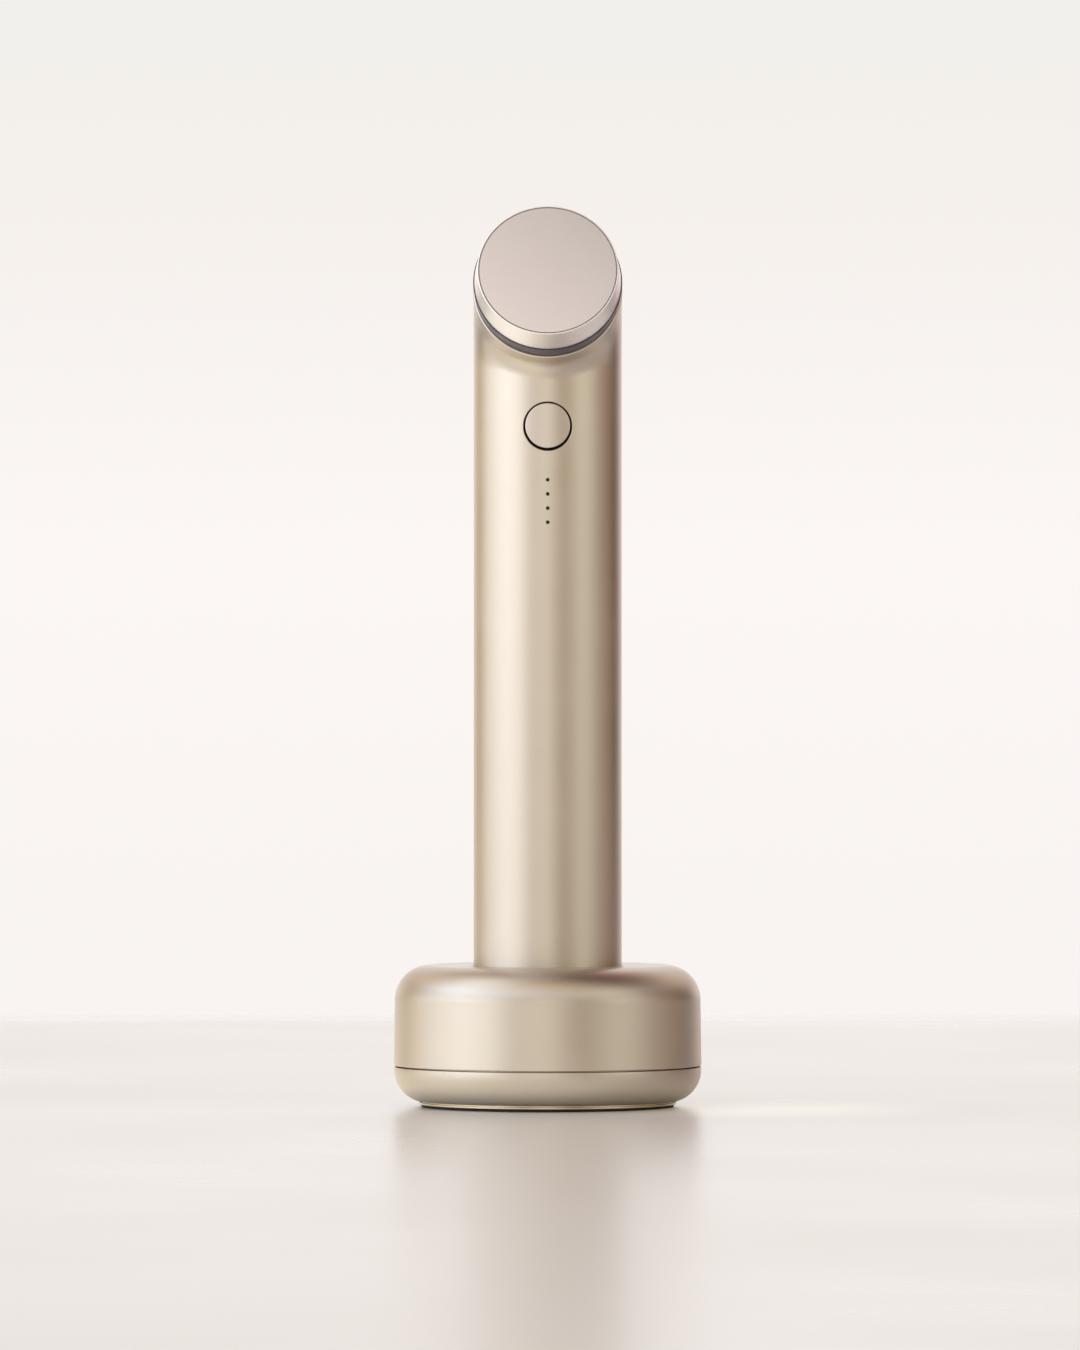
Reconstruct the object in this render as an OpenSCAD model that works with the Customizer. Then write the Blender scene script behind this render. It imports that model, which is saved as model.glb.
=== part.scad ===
// Ultrasonic facial wand standing in its round charging dock.
// Origin: centre of the rubber foot's underside, on the table. +Z up. The treatment head faces -Y.

/* [Handle] */
// Outer diameter of the handle tube
handle_d = 32; // [32:0.5:34]
// Wall thickness of the handle tube
wall_t = 1.6; // [1.4:0.1:1.7]
// Height above the table at which the tube starts to bend
bend_start = 157.1; // [157:0.5:175]
// Radius of the bend, measured on the tube's centreline
bend_r = 19.5; // [19:0.5:23]
// Angle by which the head is turned from vertical towards the user
bend_angle = 67.5; // [60:0.5:72]
// Straight length of tube after the bend
neck_len = 2.37; // [2.3:0.1:5]

/* [Treatment head] */
// Height of the smoked light ring
ring_h = 4; // [3.5:0.5:6]
// How far the light ring stands back from the tube's surface
ring_step = 0.5; // [0.4:0.1:0.9]
// How much wider the light ring is at the cap than at the tube
ring_flare = 0.5; // [0:0.1:0.5]
// Height of the polished head cap above the light ring
cap_h = 6; // [5.8:0.2:8]
// Thickness of the treatment face
face_t = 1.4; // [1.2:0.1:1.5]

/* [Button and indicators] */
// Diameter of the power button
button_d = 9.7; // [9:0.1:10]
// Gap round the power button
button_gap = 0.4; // [0.25:0.05:0.4]
// Height of the power button's centre above the table
button_z = 146.7; // [140:0.1:147]
// Travel of the power button
button_travel = 0.5; // [0.3:0.1:0.5]
// Diameter of each indicator hole
dot_d = 0.8; // [0.7:0.1:1.2]
// Distance between indicator holes
dot_pitch = 3.04; // [2.6:0.02:3.2]
// Number of indicator lights
dot_count = 4; // [3:1:5]
// Height of the highest indicator light above the table
dot_z = 135.2; // [132:0.1:136]

/* [Dock] */
// Widest diameter of the dock
dock_d = 66.5; // [66.5:0.5:72]
// Height of the dock's top
dock_h = 30.7; // [30.2:0.1:34]
// Radius of the dock's shoulder
shoulder_r = 7.5; // [6.5:0.5:8]
// Radius of the bowl under the seam
bowl_r = 7; // [6.8:0.1:7.4]
// Clearance between the handle and the hole in the dock
well_gap = 0.25; // [0.2:0.05:0.4]
// Width of the key that stops the handle from turning
key_w = 3; // [2.4:0.2:3.6]
// Travel of the sprung charging pins
pogo_travel = 0.6; // [0.4:0.1:0.8]

/* [Hidden] */
$fn = 96;

// Handle
hr = handle_d / 2;
ri = hr - wall_t;
pz = bend_start + bend_r * tan(bend_angle / 2); // where the two tube axes cross
s_bend = bend_r * tan(bend_angle / 2);          // distances s are measured from there along the head's axis
s_lip = s_bend + neck_len;
s_ring = s_lip + ring_h;
s_face = s_ring + cap_h;
seat_z = 12.5;       // underside of the handle on its pad
tube_z = 15;         // lower end of the tube, on the end cap's rim

// Head
ring_r = hr - ring_step;
ring_top = ring_r + ring_flare;
cap_r0 = hr - 0.35;
cap_r1 = hr - 1.05;

// Chassis, board and cell
ch_ro = ri - 0.2;
ch_ri = ch_ro - 1.2;
board_t = 1.2;
board_y = -8;        // front face of the main board
board_hw = 11;
board_z0 = 26;
board_z1 = 152;
cell_r = 9.2;
cell_z0 = 30;
cell_z1 = 95;
cell_y = ch_ri - cell_r - 0.2;
screw_x = 9.2;
cap_screw_x = 9;
contact_x = 3.5;

// Button stack, from the front to the board
btn_back = -12.1;
web_y = -12.05;
sw_top = -10.6;
plunger_front = -11.2;
plunger_back = board_y - 1.1 - button_travel;

// Dock
dr = dock_d / 2;
seam_z = 8.8;
seam_w = 0.3;
side_r = dr - 0.2;                  // radius where the side meets the shoulder
shell_t = 1.8;
dock_ri = side_r - 1.85;            // inside of the upper shell
bowl_cz = 8;
bowl_cx = dr - 0.05 - bowl_r;
lip_ro = dock_ri - 0.15;
lip_ri = lip_ro - 0.95;
in_r = 4.9;
in_cx = lip_ri - in_r;
floor_z = 3.1;
well_r = hr + well_gap + 0.05;
cup_z = 10;
cup_floor = 11.5;
dock_screw_r = 24;
base_r = 27.8;
plate_z = 0.55;
usb_z = 5.45;
usb_y0 = 24.2;
usb_y1 = 31.5;
pogo_tip = 12.88;
pin_stop = 10.5 - pogo_travel;     // top of the pin's shoulder, below its stop in the barrel

// ---------- helpers ----------

// Points on an arc, from angle a0 to a1
function arc(cx, cy, r, a0, a1, n = 12) =
    [for (i = [0:n]) [cx + r * cos(a0 + (a1 - a0) * i / n), cy + r * sin(a0 + (a1 - a0) * i / n)]];

// A point in the head's frame: x, offset u towards the outside of the bend, distance s along the axis
function hp(x, u, s) =
    [x, -s * sin(bend_angle) + u * cos(bend_angle), pz + s * cos(bend_angle) + u * sin(bend_angle)];

function unit(v) = v / norm(v);

// Catmull-Rom curve through points
function cr(p0, p1, p2, p3, t) =
    0.5 * (2 * p1 + (p2 - p0) * t + (2 * p0 - 5 * p1 + 4 * p2 - p3) * t * t
    + (3 * p1 - p0 - 3 * p2 + p3) * t * t * t);
function smooth(p, m = 4) =
    let (n = len(p))
    concat([for (i = [0:n - 2], j = [0:m - 1])
        cr(p[max(i - 1, 0)], p[i], p[i + 1], p[min(i + 2, n - 1)], j / m)], [p[n - 1]]);

// Round wire along points; ref is a direction that the wire never runs along
module wire(p, r, ref = [1, 0, 0], sides = 8) {
    n = len(p);
    pts = [for (i = [0:n - 1])
        let (t = unit(p[min(i + 1, n - 1)] - p[max(i - 1, 0)]),
            u = unit(cross(t, ref)), v = cross(t, u))
        for (j = [0:sides - 1]) p[i] + r * (cos(360 * j / sides) * u + sin(360 * j / sides) * v)];
    faces = concat([[for (j = [0:sides - 1]) j]],
        [for (i = [0:n - 2], j = [0:sides - 1])
            let (k = (j + 1) % sides) [i * sides + j, (i + 1) * sides + j, (i + 1) * sides + k, i * sides + k]],
        [[for (j = [sides - 1:-1:0]) (n - 1) * sides + j]]);
    polyhedron(points = pts, faces = faces);
}

module ring(ro, rin, z0, z1) {
    translate([0, 0, z0]) linear_extrude(z1 - z0) difference() {
        circle(r = ro);
        circle(r = rin);
    }
}

module block(x0, x1, y0, y1, z0, z1) {
    translate([x0, y0, z0]) cube([x1 - x0, y1 - y0, z1 - z0]);
}

// Places something modelled on +Z onto the head's axis, measured by s
module on_head() {
    translate([0, 0, pz]) rotate([bend_angle, 0, 0]) children();
}

// Plane of the bend: local X runs outwards from the bend's centre, local Z is the part's X
module at_bend() {
    translate([0, -bend_r, bend_start]) rotate([90, 0, 90]) children();
}

// Round rod along Y
module rod_y(r, y0, y1, x = 0, z = 0) {
    translate([x, y0, z]) rotate([-90, 0, 0]) cylinder(r = r, h = y1 - y0);
}

// Pan-head screw standing head down on +Z: head from z0, shank above
module screw_up(x, y, z0, head_r, head_h, shank_r, shank_h) {
    translate([x, y, z0]) difference() {
        union() {
            cylinder(r = head_r, h = head_h, $fn = 48);
            cylinder(r = shank_r, h = head_h + shank_h, $fn = 32);
        }
        for (a = [0, 90]) rotate([0, 0, a])
            translate([-head_r * 0.6, -head_r * 0.13, -1]) cube([head_r * 1.2, head_r * 0.26, 1 + head_h * 0.55]);
    }
}

// Rounded slot outline, as a charging socket has
module slot2d(w, h) {
    square([w - h, h], center = true);
    for (sx = [-1, 1]) translate([sx * (w - h) / 2, 0]) circle(r = h / 2);
}

// Surface-mount block on the main board's front
module front_chip(x, z, w, h, t) {
    translate([x - w / 2, board_y - t, z - h / 2]) cube([w, t, h]);
}

// ---------- wand ----------

module handle_tube() {
    color([0.78, 0.72, 0.64]) difference() {
        union() {
            ring(hr, ri, tube_z, bend_start);
            at_bend() rotate_extrude(angle = bend_angle) translate([bend_r, 0]) difference() {
                circle(r = hr);
                circle(r = ri);
            }
            // Turned neck after the bend, a hair under the tube's size, with a rounded lip
            at_bend() rotate([0, 0, bend_angle]) translate([bend_r, 0, 0]) rotate([-90, 0, 0])
                rotate_extrude() polygon(concat([[ri + 0.03, -0.3], [hr - 0.03, -0.3]],
                    arc(hr - 0.43, neck_len - 0.4, 0.4, 0, 90, 4), [[ri + 0.03, neck_len]]));
        }
        rod_y(button_d / 2 + button_gap, -hr - 2, -ri + 3, 0, button_z);
        for (i = [0:dot_count - 1]) rod_y(dot_d / 2, -hr - 2, -ri + 2, 0, dot_z - i * dot_pitch);
    }
}

module treatment_head_cap() {
    color([0.83, 0.79, 0.77]) on_head() rotate_extrude() polygon([
        [0, s_face], [cap_r1 - 0.3, s_face], [cap_r1, s_face - 0.15], [cap_r0, s_ring + 0.06], [cap_r0 - 0.06, s_ring],
        [ri - 1.8, s_ring], [ri - 1.8, s_lip + 0.8], [ri - 3, s_lip + 0.8], [ri - 3, s_ring + 1.2],
        [ri - 0.8, s_ring + 1.2], [ri - 0.8, s_face - face_t], [0, s_face - face_t]]);
}

module head_light_ring() {
    color([0.36, 0.33, 0.4]) on_head() rotate_extrude() polygon([
        [ring_r - 0.1, s_lip + 0.05], [ring_r, s_lip + 0.15], [ring_top, s_ring - 0.15], [ring_top - 0.1, s_ring - 0.05],
        [ri - 1.6, s_ring - 0.05], [ri - 1.6, s_lip - 0.5], [ri - 0.2, s_lip - 0.5], [ri - 0.2, s_lip + 0.05]]);
}

module transducer_disc() {
    color([0.86, 0.86, 0.84]) on_head() translate([0, 0, s_face - face_t - 2.05]) cylinder(r = 10.5, h = 2);
}

module transducer_damping_ring() {
    color([0.25, 0.25, 0.27]) on_head() ring(ri - 1, 10.7, s_face - face_t - 2.4, s_face - face_t - 0.05);
}

module head_carrier() {
    color([0.12, 0.12, 0.13]) on_head() difference() {
        rotate_extrude() polygon([[5, s_lip - 4.9], [ri - 0.2, s_lip - 4.9], [ri - 0.2, s_lip - 4.1],
            [ri - 1.2, s_lip - 4.1], [ri - 1.2, s_lip - 2.9], [ri - 0.2, s_lip - 2.9], [ri - 0.2, s_lip - 2.2],
            [ri - 3.15, s_lip - 2.2], [ri - 3.15, s_lip + 3], [ri - 5.5, s_lip + 3], [ri - 5.5, s_lip - 2.2],
            [5, s_lip - 2.2]]);
        for (sx = [-1, 1]) translate([sx * 1.4, -(ri - 2.1), s_lip - 6]) cylinder(r = 0.7, h = 5, $fn = 32);
    }
}

module head_seal() {
    color([0.2, 0.2, 0.2]) on_head() translate([0, 0, s_lip - 3.5]) rotate_extrude()
        translate([ri - 0.62, 0]) circle(r = 0.55, $fn = 32);
}

module light_ring_board() {
    color([0.1, 0.35, 0.2]) on_head() difference() {
        ring(ri - 0.2, ri - 2.9, s_lip - 2.2, s_lip - 1.4);
        for (sx = [-1, 1]) translate([sx * 1.4, -(ri - 2.1), s_lip - 4]) cylinder(r = 0.7, h = 5, $fn = 32);
    }
}

module light_ring_leds() {
    color([0.95, 0.93, 0.8]) on_head() for (i = [0:7]) rotate([0, 0, 22.5 + i * 45])
        block(ri - 1.5, ri - 0.4, -0.8, 0.8, s_lip - 1.4, s_lip - 0.65);
}

// Leads from the transducer and from the light ring's board down to the main board
module head_harness() {
    color([0.75, 0.12, 0.1]) for (sx = [-1, 1]) {
        wire(smooth([hp(sx * 3, 0, s_face - face_t - 2.15), hp(sx * 3, 0, s_ring), hp(sx * 2.6, 0, s_lip - 1),
            hp(sx * 2.4, 0, s_lip - 6), [sx * 2.2, -3.2, bend_start + 11], [sx * 2.2, -1.6, bend_start + 4],
            [sx * 2.6, -3, bend_start - 1.5], [sx * 3, -5.4, board_z1 + 0.8], [sx * 3, -6.15, board_z1 - 1]]), 0.5);
        wire(smooth([hp(sx * 1.4, -(ri - 2.1), s_lip - 1.6), hp(sx * 1.4, -(ri - 2.1), s_lip - 4),
            hp(sx * 1.6, -(ri - 4), s_lip - 7.5), [sx * 4.4, -7.2, bend_start + 8], [sx * 5.4, -4.2, bend_start + 3],
            [sx * 6, -4.2, bend_start - 1.5], [sx * 6, -5.6, board_z1 + 0.8], [sx * 6, -6.25, board_z1 - 1]]), 0.4);
    }
}

module chassis() {
    color([0.15, 0.15, 0.16]) difference() {
        union() {
            // Trough that carries the cell, open towards the board
            intersection() {
                ring(ch_ro, ch_ri, 21, 151);
                block(-20, 20, board_y + board_t, 20, 20, 152);
            }
            // Rails under the board's edges
            for (sx = [-1, 1]) block(min(sx * 8, sx * 11.4), max(sx * 8, sx * 11.4), board_y + board_t,
                board_y + board_t + 1.4, 21, 151);
            // Cross walls
            for (z = [[21, 23], [97, 98.6], [118, 119.6], [149, 151]]) intersection() {
                translate([0, 0, z[0]]) cylinder(r = ch_ri + 0.3, h = z[1] - z[0]);
                block(-20, 20, board_y + board_t, 20, z[0], z[1]);
            }
            // Posts for the end cap's screws
            for (sx = [-1, 1]) translate([sx * cap_screw_x, 0, 21]) cylinder(r = 2.6, h = 8, $fn = 48);
        }
        for (sx = [-1, 1]) {
            translate([sx * cap_screw_x, 0, 20]) cylinder(r = 1.05, h = 8.5, $fn = 32);
            for (z = [33, 104]) rod_y(0.85, board_y, board_y + board_t + 1.3, sx * screw_x, z);
        }
        // Windows for the leads
        block(-6, 6, -8, 2.5, 20, 24);
        block(-5, 5, -8, -1, 96, 120);
        block(-8, 8, -8, -1, 148, 152);
    }
}

module main_board() {
    color([0.09, 0.3, 0.18]) difference() {
        block(-board_hw, board_hw, board_y, board_y + board_t, board_z0, board_z1);
        for (sx = [-1, 1], z = [33, 104]) rod_y(1.05, board_y - 1, board_y + 2, sx * screw_x, z);
        for (sx = [-1, 1]) block(min(sx * 9.6, sx * 12), max(sx * 9.6, sx * 12), board_y - 1, board_y + 2, 120, 123);
    }
}

module board_chips() {
    color([0.08, 0.08, 0.09]) {
        front_chip(0, 112, 7, 7, 1);
        front_chip(-5.5, 98, 5, 4, 1.4);
        front_chip(5.5, 98, 5, 4, 1.4);
        front_chip(-4, 60, 6.6, 6.6, 2.8);
        front_chip(4.5, 58, 4, 4, 0.9);
        front_chip(0, 40, 5, 5, 0.9);
        front_chip(6, 44, 2.2, 3, 1.6);
        for (i = [0:3]) front_chip(-5.5 + i * 1.9, 122.5 - i * 3.04, 0.8, 1.6, 0.6);
        for (i = [0:4]) front_chip(-5 + i * 2.5, 76, 1.2, 2, 0.9);
    }
}

module drive_transformer() {
    y = board_y + board_t;
    color([0.3, 0.28, 0.26]) difference() {
        block(-6.5, 6.5, y + 0.05, y + 9, 100, 114);
        for (z0 = [102.6, 109.2]) block(-7, 7, y + 2.4, y + 6.6, z0, z0 + 2.2);
    }
    color([0.72, 0.42, 0.2]) block(-4.4, 4.4, y + 9, y + 10.2, 102, 112);
}

module board_screws() {
    color([0.7, 0.7, 0.72]) for (sx = [-1, 1], z = [33, 104]) translate([sx * screw_x, board_y, z]) rotate([-90, 0, 0])
        screw_up(0, 0, -0.9, 1.6, 0.9, 0.8, 2.3);
}

module battery_cell() {
    color([0.2, 0.4, 0.62]) {
        translate([0, cell_y, cell_z0]) rotate_extrude() polygon([[0, 0], [cell_r - 0.4, 0], [cell_r, 0.4],
            [cell_r, cell_z1 - cell_z0 - 0.4], [cell_r - 0.4, cell_z1 - cell_z0], [3, cell_z1 - cell_z0],
            [3, cell_z1 - cell_z0 + 0.7], [0, cell_z1 - cell_z0 + 0.7]]);
    }
}

module battery_tabs() {
    color([0.8, 0.8, 0.8]) {
        for (z = [cell_z0 - 0.25, cell_z1 + 0.75]) block(-2.5, 2.5, board_y + board_t + 0.3, cell_y + 2.5, z, z + 0.2);
        block(-2.5, 2.5, board_y + board_t + 0.05, board_y + board_t + 0.3, cell_z0 - 3, cell_z0 - 0.05);
        block(-2.5, 2.5, board_y + board_t + 0.05, board_y + board_t + 0.3, cell_z1 - 3, cell_z1 + 0.95);
    }
}

module power_button() {
    color([0.8, 0.75, 0.7]) {
        intersection() {
            rod_y(button_d / 2, -hr - 1, btn_back, 0, button_z);
            translate([0, 0, button_z - 10]) cylinder(r = hr, h = 20);
        }
        rod_y(button_d / 2 + 1.1, -12.8, btn_back, 0, button_z);
    }
}

module button_membrane() {
    color([0.3, 0.3, 0.3]) {
        rod_y(5.8, web_y, web_y + 0.5, 0, button_z);
        rod_y(1.6, web_y + 0.4, plunger_front - 0.02, 0, button_z);
        translate([0, web_y + 0.15, button_z]) rotate([-90, 0, 0]) ring(7.5, 5.7, 0, 0.55);
    }
}

module button_bracket() {
    color([0.15, 0.15, 0.16]) translate([0, board_y - 0.02, button_z]) rotate([90, 0, 0])
        difference() {
            ring(7.5, 5.4, 0, -web_y + board_y - 0.74);
            block(-1.5, 1.5, -8, -5, -1, 1.2);
        }
}

module switch_body() {
    color([0.1, 0.1, 0.1]) difference() {
        union() {
            block(-3, 3, sw_top, board_y, button_z - 3, button_z + 3);
            for (sx = [-1, 1], sz = [-1, 1]) block(sx * 3.4 - 0.5, sx * 3.4 + 0.5, board_y - 0.3, board_y,
                button_z + sz * 2.2 - 0.35, button_z + sz * 2.2 + 0.35);
        }
        rod_y(1.8, sw_top - 1, board_y - 0.6, 0, button_z);
    }
}

module switch_plunger() {
    color([0.35, 0.33, 0.32]) rod_y(1.72, plunger_front, plunger_back, 0, button_z);
}

module indicator_light_pipes() {
    color([0.1, 0.1, 0.11]) union() {
        for (i = [0:dot_count - 1]) rod_y(dot_d / 2 - 0.04, -hr + 0.25, -9.1, 0, dot_z - i * dot_pitch);
        block(-1.4, 1.4, -ri + 0.3, -ri + 1.4, dot_z - (dot_count - 1) * dot_pitch - 1.5, dot_z + 1.5);
    }
}

module indicator_leds() {
    color([0.95, 0.95, 0.9]) for (i = [0:dot_count - 1]) front_chip(0, dot_z - i * dot_pitch, 1.6, 0.9, 0.7);
}

module end_cap() {
    color([0.14, 0.14, 0.15]) difference() {
        rotate_extrude() polygon([[0, seat_z], [hr - 0.9, seat_z], [hr - 0.1, seat_z + 0.8], [hr - 0.1, tube_z],
            [ri - 0.3, tube_z], [ri - 0.3, 16.8], [ri - 1.4, 16.8], [ri - 1.4, 18.2], [ri - 0.3, 18.2],
            [ri - 0.3, 20.5], [6.5, 20.5], [6.5, 17], [0, 17]]);
        // Key groove at the back
        block(-key_w / 2 - 0.2, key_w / 2 + 0.2, 8.6, 20, seat_z - 1, seat_z + 2);
        for (sx = [-1, 1]) {
            translate([sx * contact_x, 0, seat_z - 1]) cylinder(r = 1.65, h = 2.7, $fn = 48);
            translate([sx * contact_x, 0, seat_z]) cylinder(r = 0.65, h = 6, $fn = 32);
            translate([sx * cap_screw_x, 0, seat_z - 1]) cylinder(r = 2.1, h = 2.8, $fn = 48);
            translate([sx * cap_screw_x, 0, seat_z]) cylinder(r = 1.15, h = 9, $fn = 32);
        }
    }
}

module end_cap_seal() {
    color([0.2, 0.2, 0.2]) translate([0, 0, 17.5]) rotate_extrude() translate([ri - 0.65, 0]) circle(r = 0.6, $fn = 32);
}

module end_cap_screws() {
    color([0.7, 0.7, 0.72]) for (sx = [-1, 1]) screw_up(sx * cap_screw_x, 0, 13, 1.9, 1.25, 1, 12);
}

module charge_contacts() {
    color([0.85, 0.68, 0.35]) for (sx = [-1, 1]) translate([sx * contact_x, 0, 0]) {
        translate([0, 0, seat_z + 0.4]) cylinder(r = 1.6, h = 1.25, $fn = 48);
        translate([0, 0, seat_z + 1]) cylinder(r = 0.6, h = 8.5, $fn = 32);
    }
}

module charge_leads() {
    color([0.1, 0.1, 0.1]) for (sx = [-1, 1])
        wire(smooth([[sx * 3.5, 0, 22.05], [sx * 3.6, -0.6, 24], [sx * 4, -2.6, 26], [sx * 4.6, -5, 27],
            [sx * 4.8, -6.25, 28.6]]), 0.45);
}

// ---------- dock ----------

module dock_upper_shell() {
    hole = hr + well_gap;
    color([0.78, 0.72, 0.64]) rotate_extrude() polygon(concat(
        [[hole, dock_h - shell_t], [hole, dock_h - 0.75], [hole + 0.15, dock_h - 0.45], [hole + 0.5, dock_h - 0.27],
            [hole + 1.2, dock_h - 0.2]],
        arc(side_r - shoulder_r, dock_h - shoulder_r, shoulder_r, 90, 0, 16),
        [[dr, 9.6], [dr, seam_z + seam_w / 2 + 0.15], [dr - 0.15, seam_z + seam_w / 2], [dock_ri, seam_z + seam_w / 2]],
        arc(dock_ri - shoulder_r + shell_t, dock_h - shoulder_r, shoulder_r - shell_t, 0, 90, 10)));
}

module dock_lower_shell() {
    b = seam_z - seam_w / 2;
    a0 = -asin((bowl_cz - 1.3) / bowl_r);
    color([0.78, 0.72, 0.64]) difference() {
        union() {
            rotate_extrude() polygon(concat(
                [[0, floor_z], [0, 2.05], [20.85, 2.05], [20.85, 1.3]],
                arc(bowl_cx, bowl_cz, bowl_r, a0, 0, 14),
                [[dr - 0.05, b - 0.15], [dr - 0.2, b], [lip_ro, b], [lip_ro, 11], [lip_ri, 11]],
                arc(in_cx, bowl_cz, in_r, 0, -90, 10)));
            for (a = [45:90:315]) rotate([0, 0, a]) translate([dock_screw_r, 0, 2.5]) cylinder(r = 3.2, h = 7.45, $fn = 48);
            for (a = [30:60:330]) rotate([0, 0, a]) translate([15, 0, 3]) cylinder(r = 2.2, h = (a % 120 == 30) ? 0.9 : 0.7, $fn = 48);
        }
        for (a = [45:90:315]) rotate([0, 0, a]) translate([dock_screw_r, 0, 0]) {
            cylinder(r = 2.4, h = 3, $fn = 48);
            cylinder(r = 1.35, h = 12, $fn = 32);
        }
        // Bores for the board's screws, blind from above, and for the base plate's, blind from below
        for (a = [30, 150, 270]) rotate([0, 0, a]) translate([15, 0, 2.35]) cylinder(r = 0.85, h = 3, $fn = 32);
        for (a = [90, 210, 330]) rotate([0, 0, a]) translate([15, 0, 1]) cylinder(r = 0.95, h = 2.5, $fn = 32);
        // Socket opening at the back
        translate([0, 40, usb_z]) rotate([90, 0, 0]) linear_extrude(17) slot2d(9.5, 3.8);
    }
}

module dock_well_cup() {
    color([0.13, 0.13, 0.14]) difference() {
        union() {
            rotate_extrude() polygon([[0, cup_z], [lip_ri - 0.45, cup_z], [lip_ri - 0.45, cup_floor + 0.1],
                [well_r + 1.6, cup_floor + 0.1], [well_r + 1.6, dock_h - shell_t - 0.1], [well_r, dock_h - shell_t - 0.1],
                [well_r, cup_floor], [0, cup_floor]]);
            block(-key_w / 2, key_w / 2, 9, well_r + 0.8, cup_floor - 0.5, seat_z + 1.7);
        }
        for (sx = [-1, 1]) translate([sx * contact_x, 0, cup_z - 1]) cylinder(r = 1.2, h = 4, $fn = 48);
        for (a = [45:90:315]) rotate([0, 0, a]) translate([dock_screw_r, 0, cup_z - 1]) cylinder(r = 1.35, h = 4, $fn = 32);
    }
}

module seat_pad() {
    color([0.3, 0.3, 0.31]) difference() {
        ring(well_r - 0.5, 7, cup_floor, seat_z);
        block(-key_w / 2 - 0.2, key_w / 2 + 0.2, 5, 20, cup_floor - 1, seat_z + 1);
    }
}

module ballast_weight() {
    ro = dock_ri - 0.15;
    color([0.42, 0.42, 0.43]) difference() {
        rotate_extrude() polygon([[well_r + 1.7, cup_floor + 0.1], [ro, cup_floor + 0.1], [ro, dock_h - shoulder_r - 0.2],
            [ro - 2.6, dock_h - 5], [well_r + 1.7, dock_h - 5]]);
        for (a = [45:90:315]) rotate([0, 0, a]) translate([dock_screw_r, 0, cup_floor]) cylinder(r = 1.3, h = 7, $fn = 32);
    }
}

module dock_board() {
    color([0.09, 0.3, 0.18]) difference() {
        union() {
            translate([0, 0, 3.9]) cylinder(r = 19.5, h = 1);
            block(-6.5, 6.5, 10, 26.5, 3.9, 4.9);
        }
        block(-4.65, 4.65, usb_y0 - 0.1, 30, 3, 6);
        for (a = [30, 150, 270]) rotate([0, 0, a]) translate([15, 0, 3]) cylinder(r = 1, h = 3, $fn = 32);
    }
}

module dock_board_chips() {
    color([0.08, 0.08, 0.09]) {
        block(-11.3, -6.9, 0.8, 5.6, 4.9, 5.9);
        block(6.6, 10.4, 3.4, 7.2, 4.9, 7.4);
        block(-3, 2, 9, 13, 4.9, 5.8);
        for (i = [0:4]) block(-6 + i * 2.6, -4.8 + i * 2.6, -9, -7.2, 4.9, 5.7);
        for (i = [0:2]) block(-5 + i * 4, -3.4 + i * 4, 16, 17, 4.9, 5.6);
    }
}

module dock_board_screws() {
    color([0.7, 0.7, 0.72]) for (a = [30, 150, 270]) rotate([0, 0, a]) translate([15, 0, 5.9]) mirror([0, 0, 1])
        screw_up(0, 0, 0, 1.7, 1, 0.8, 2.4);
}

module pogo_block() {
    color([0.12, 0.12, 0.13]) difference() {
        block(-6, 6, -2.6, 2.6, 4.9, 9.95);
        for (sx = [-1, 1]) translate([sx * contact_x, 0, 4]) cylinder(r = 1.12, h = 8, $fn = 48);
    }
}

module pogo_barrels() {
    color([0.8, 0.65, 0.35]) for (sx = [-1, 1]) translate([sx * contact_x, 0, 0]) rotate_extrude($fn = 48)
        polygon([[0, 4.95], [1.1, 4.95], [1.1, 11.6], [0.8, 11.6], [0.8, 10.9], [0.95, 10.9], [0.95, 5.5], [0, 5.5]]);
}

module pogo_plungers() {
    color([0.88, 0.72, 0.4]) for (sx = [-1, 1]) translate([sx * contact_x, 0, 0]) rotate_extrude($fn = 48)
        polygon([[0, 8], [0.88, 8], [0.88, pin_stop], [0.74, pin_stop], [0.74, pogo_tip - 0.4], [0.6, pogo_tip - 0.13],
            [0.32, pogo_tip], [0, pogo_tip]]);
}

// Each coil is drawn as a closed ring
module pogo_springs() {
    color([0.75, 0.75, 0.75]) for (sx = [-1, 1], i = [0:4]) translate([sx * contact_x, 0, 5.66 + i * 0.53])
        rotate_extrude($fn = 32) translate([0.68, 0]) circle(r = 0.12, $fn = 16);
}

module usb_c_shell() {
    color([0.72, 0.72, 0.73]) difference() {
        translate([0, usb_y1, usb_z]) rotate([90, 0, 0]) linear_extrude(usb_y1 - usb_y0) slot2d(8.94, 3.26);
        translate([0, usb_y1 + 1, usb_z]) rotate([90, 0, 0]) linear_extrude(usb_y1 - usb_y0 + 0.2) slot2d(8.34, 2.66);
    }
}

module usb_c_tongue() {
    color([0.1, 0.1, 0.1]) {
        block(-3.35, 3.35, usb_y0 + 0.9, usb_y1 - 1, usb_z - 0.35, usb_z + 0.35);
        translate([0, usb_y0 + 2.2, usb_z]) rotate([90, 0, 0]) linear_extrude(1.3) slot2d(8.24, 2.56);
    }
}

module dock_screws() {
    color([0.7, 0.7, 0.72]) for (a = [45:90:315]) rotate([0, 0, a])
        screw_up(dock_screw_r, 0, 1.5, 2.2, 1.45, 1.25, 14);
}

module base_plate() {
    color([0.76, 0.66, 0.48]) difference() {
        rotate_extrude() polygon([[0, 1.3], [20, 1.3], [20, plate_z], [base_r - 0.15, plate_z], [base_r, plate_z + 0.15],
            [base_r, 1.28], [20.75, 1.28], [20.75, 2], [0, 2]]);
        for (a = [90, 210, 330]) rotate([0, 0, a]) translate([15, 0, 0]) cylinder(r = 1, h = 4, $fn = 32);
    }
}

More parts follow.
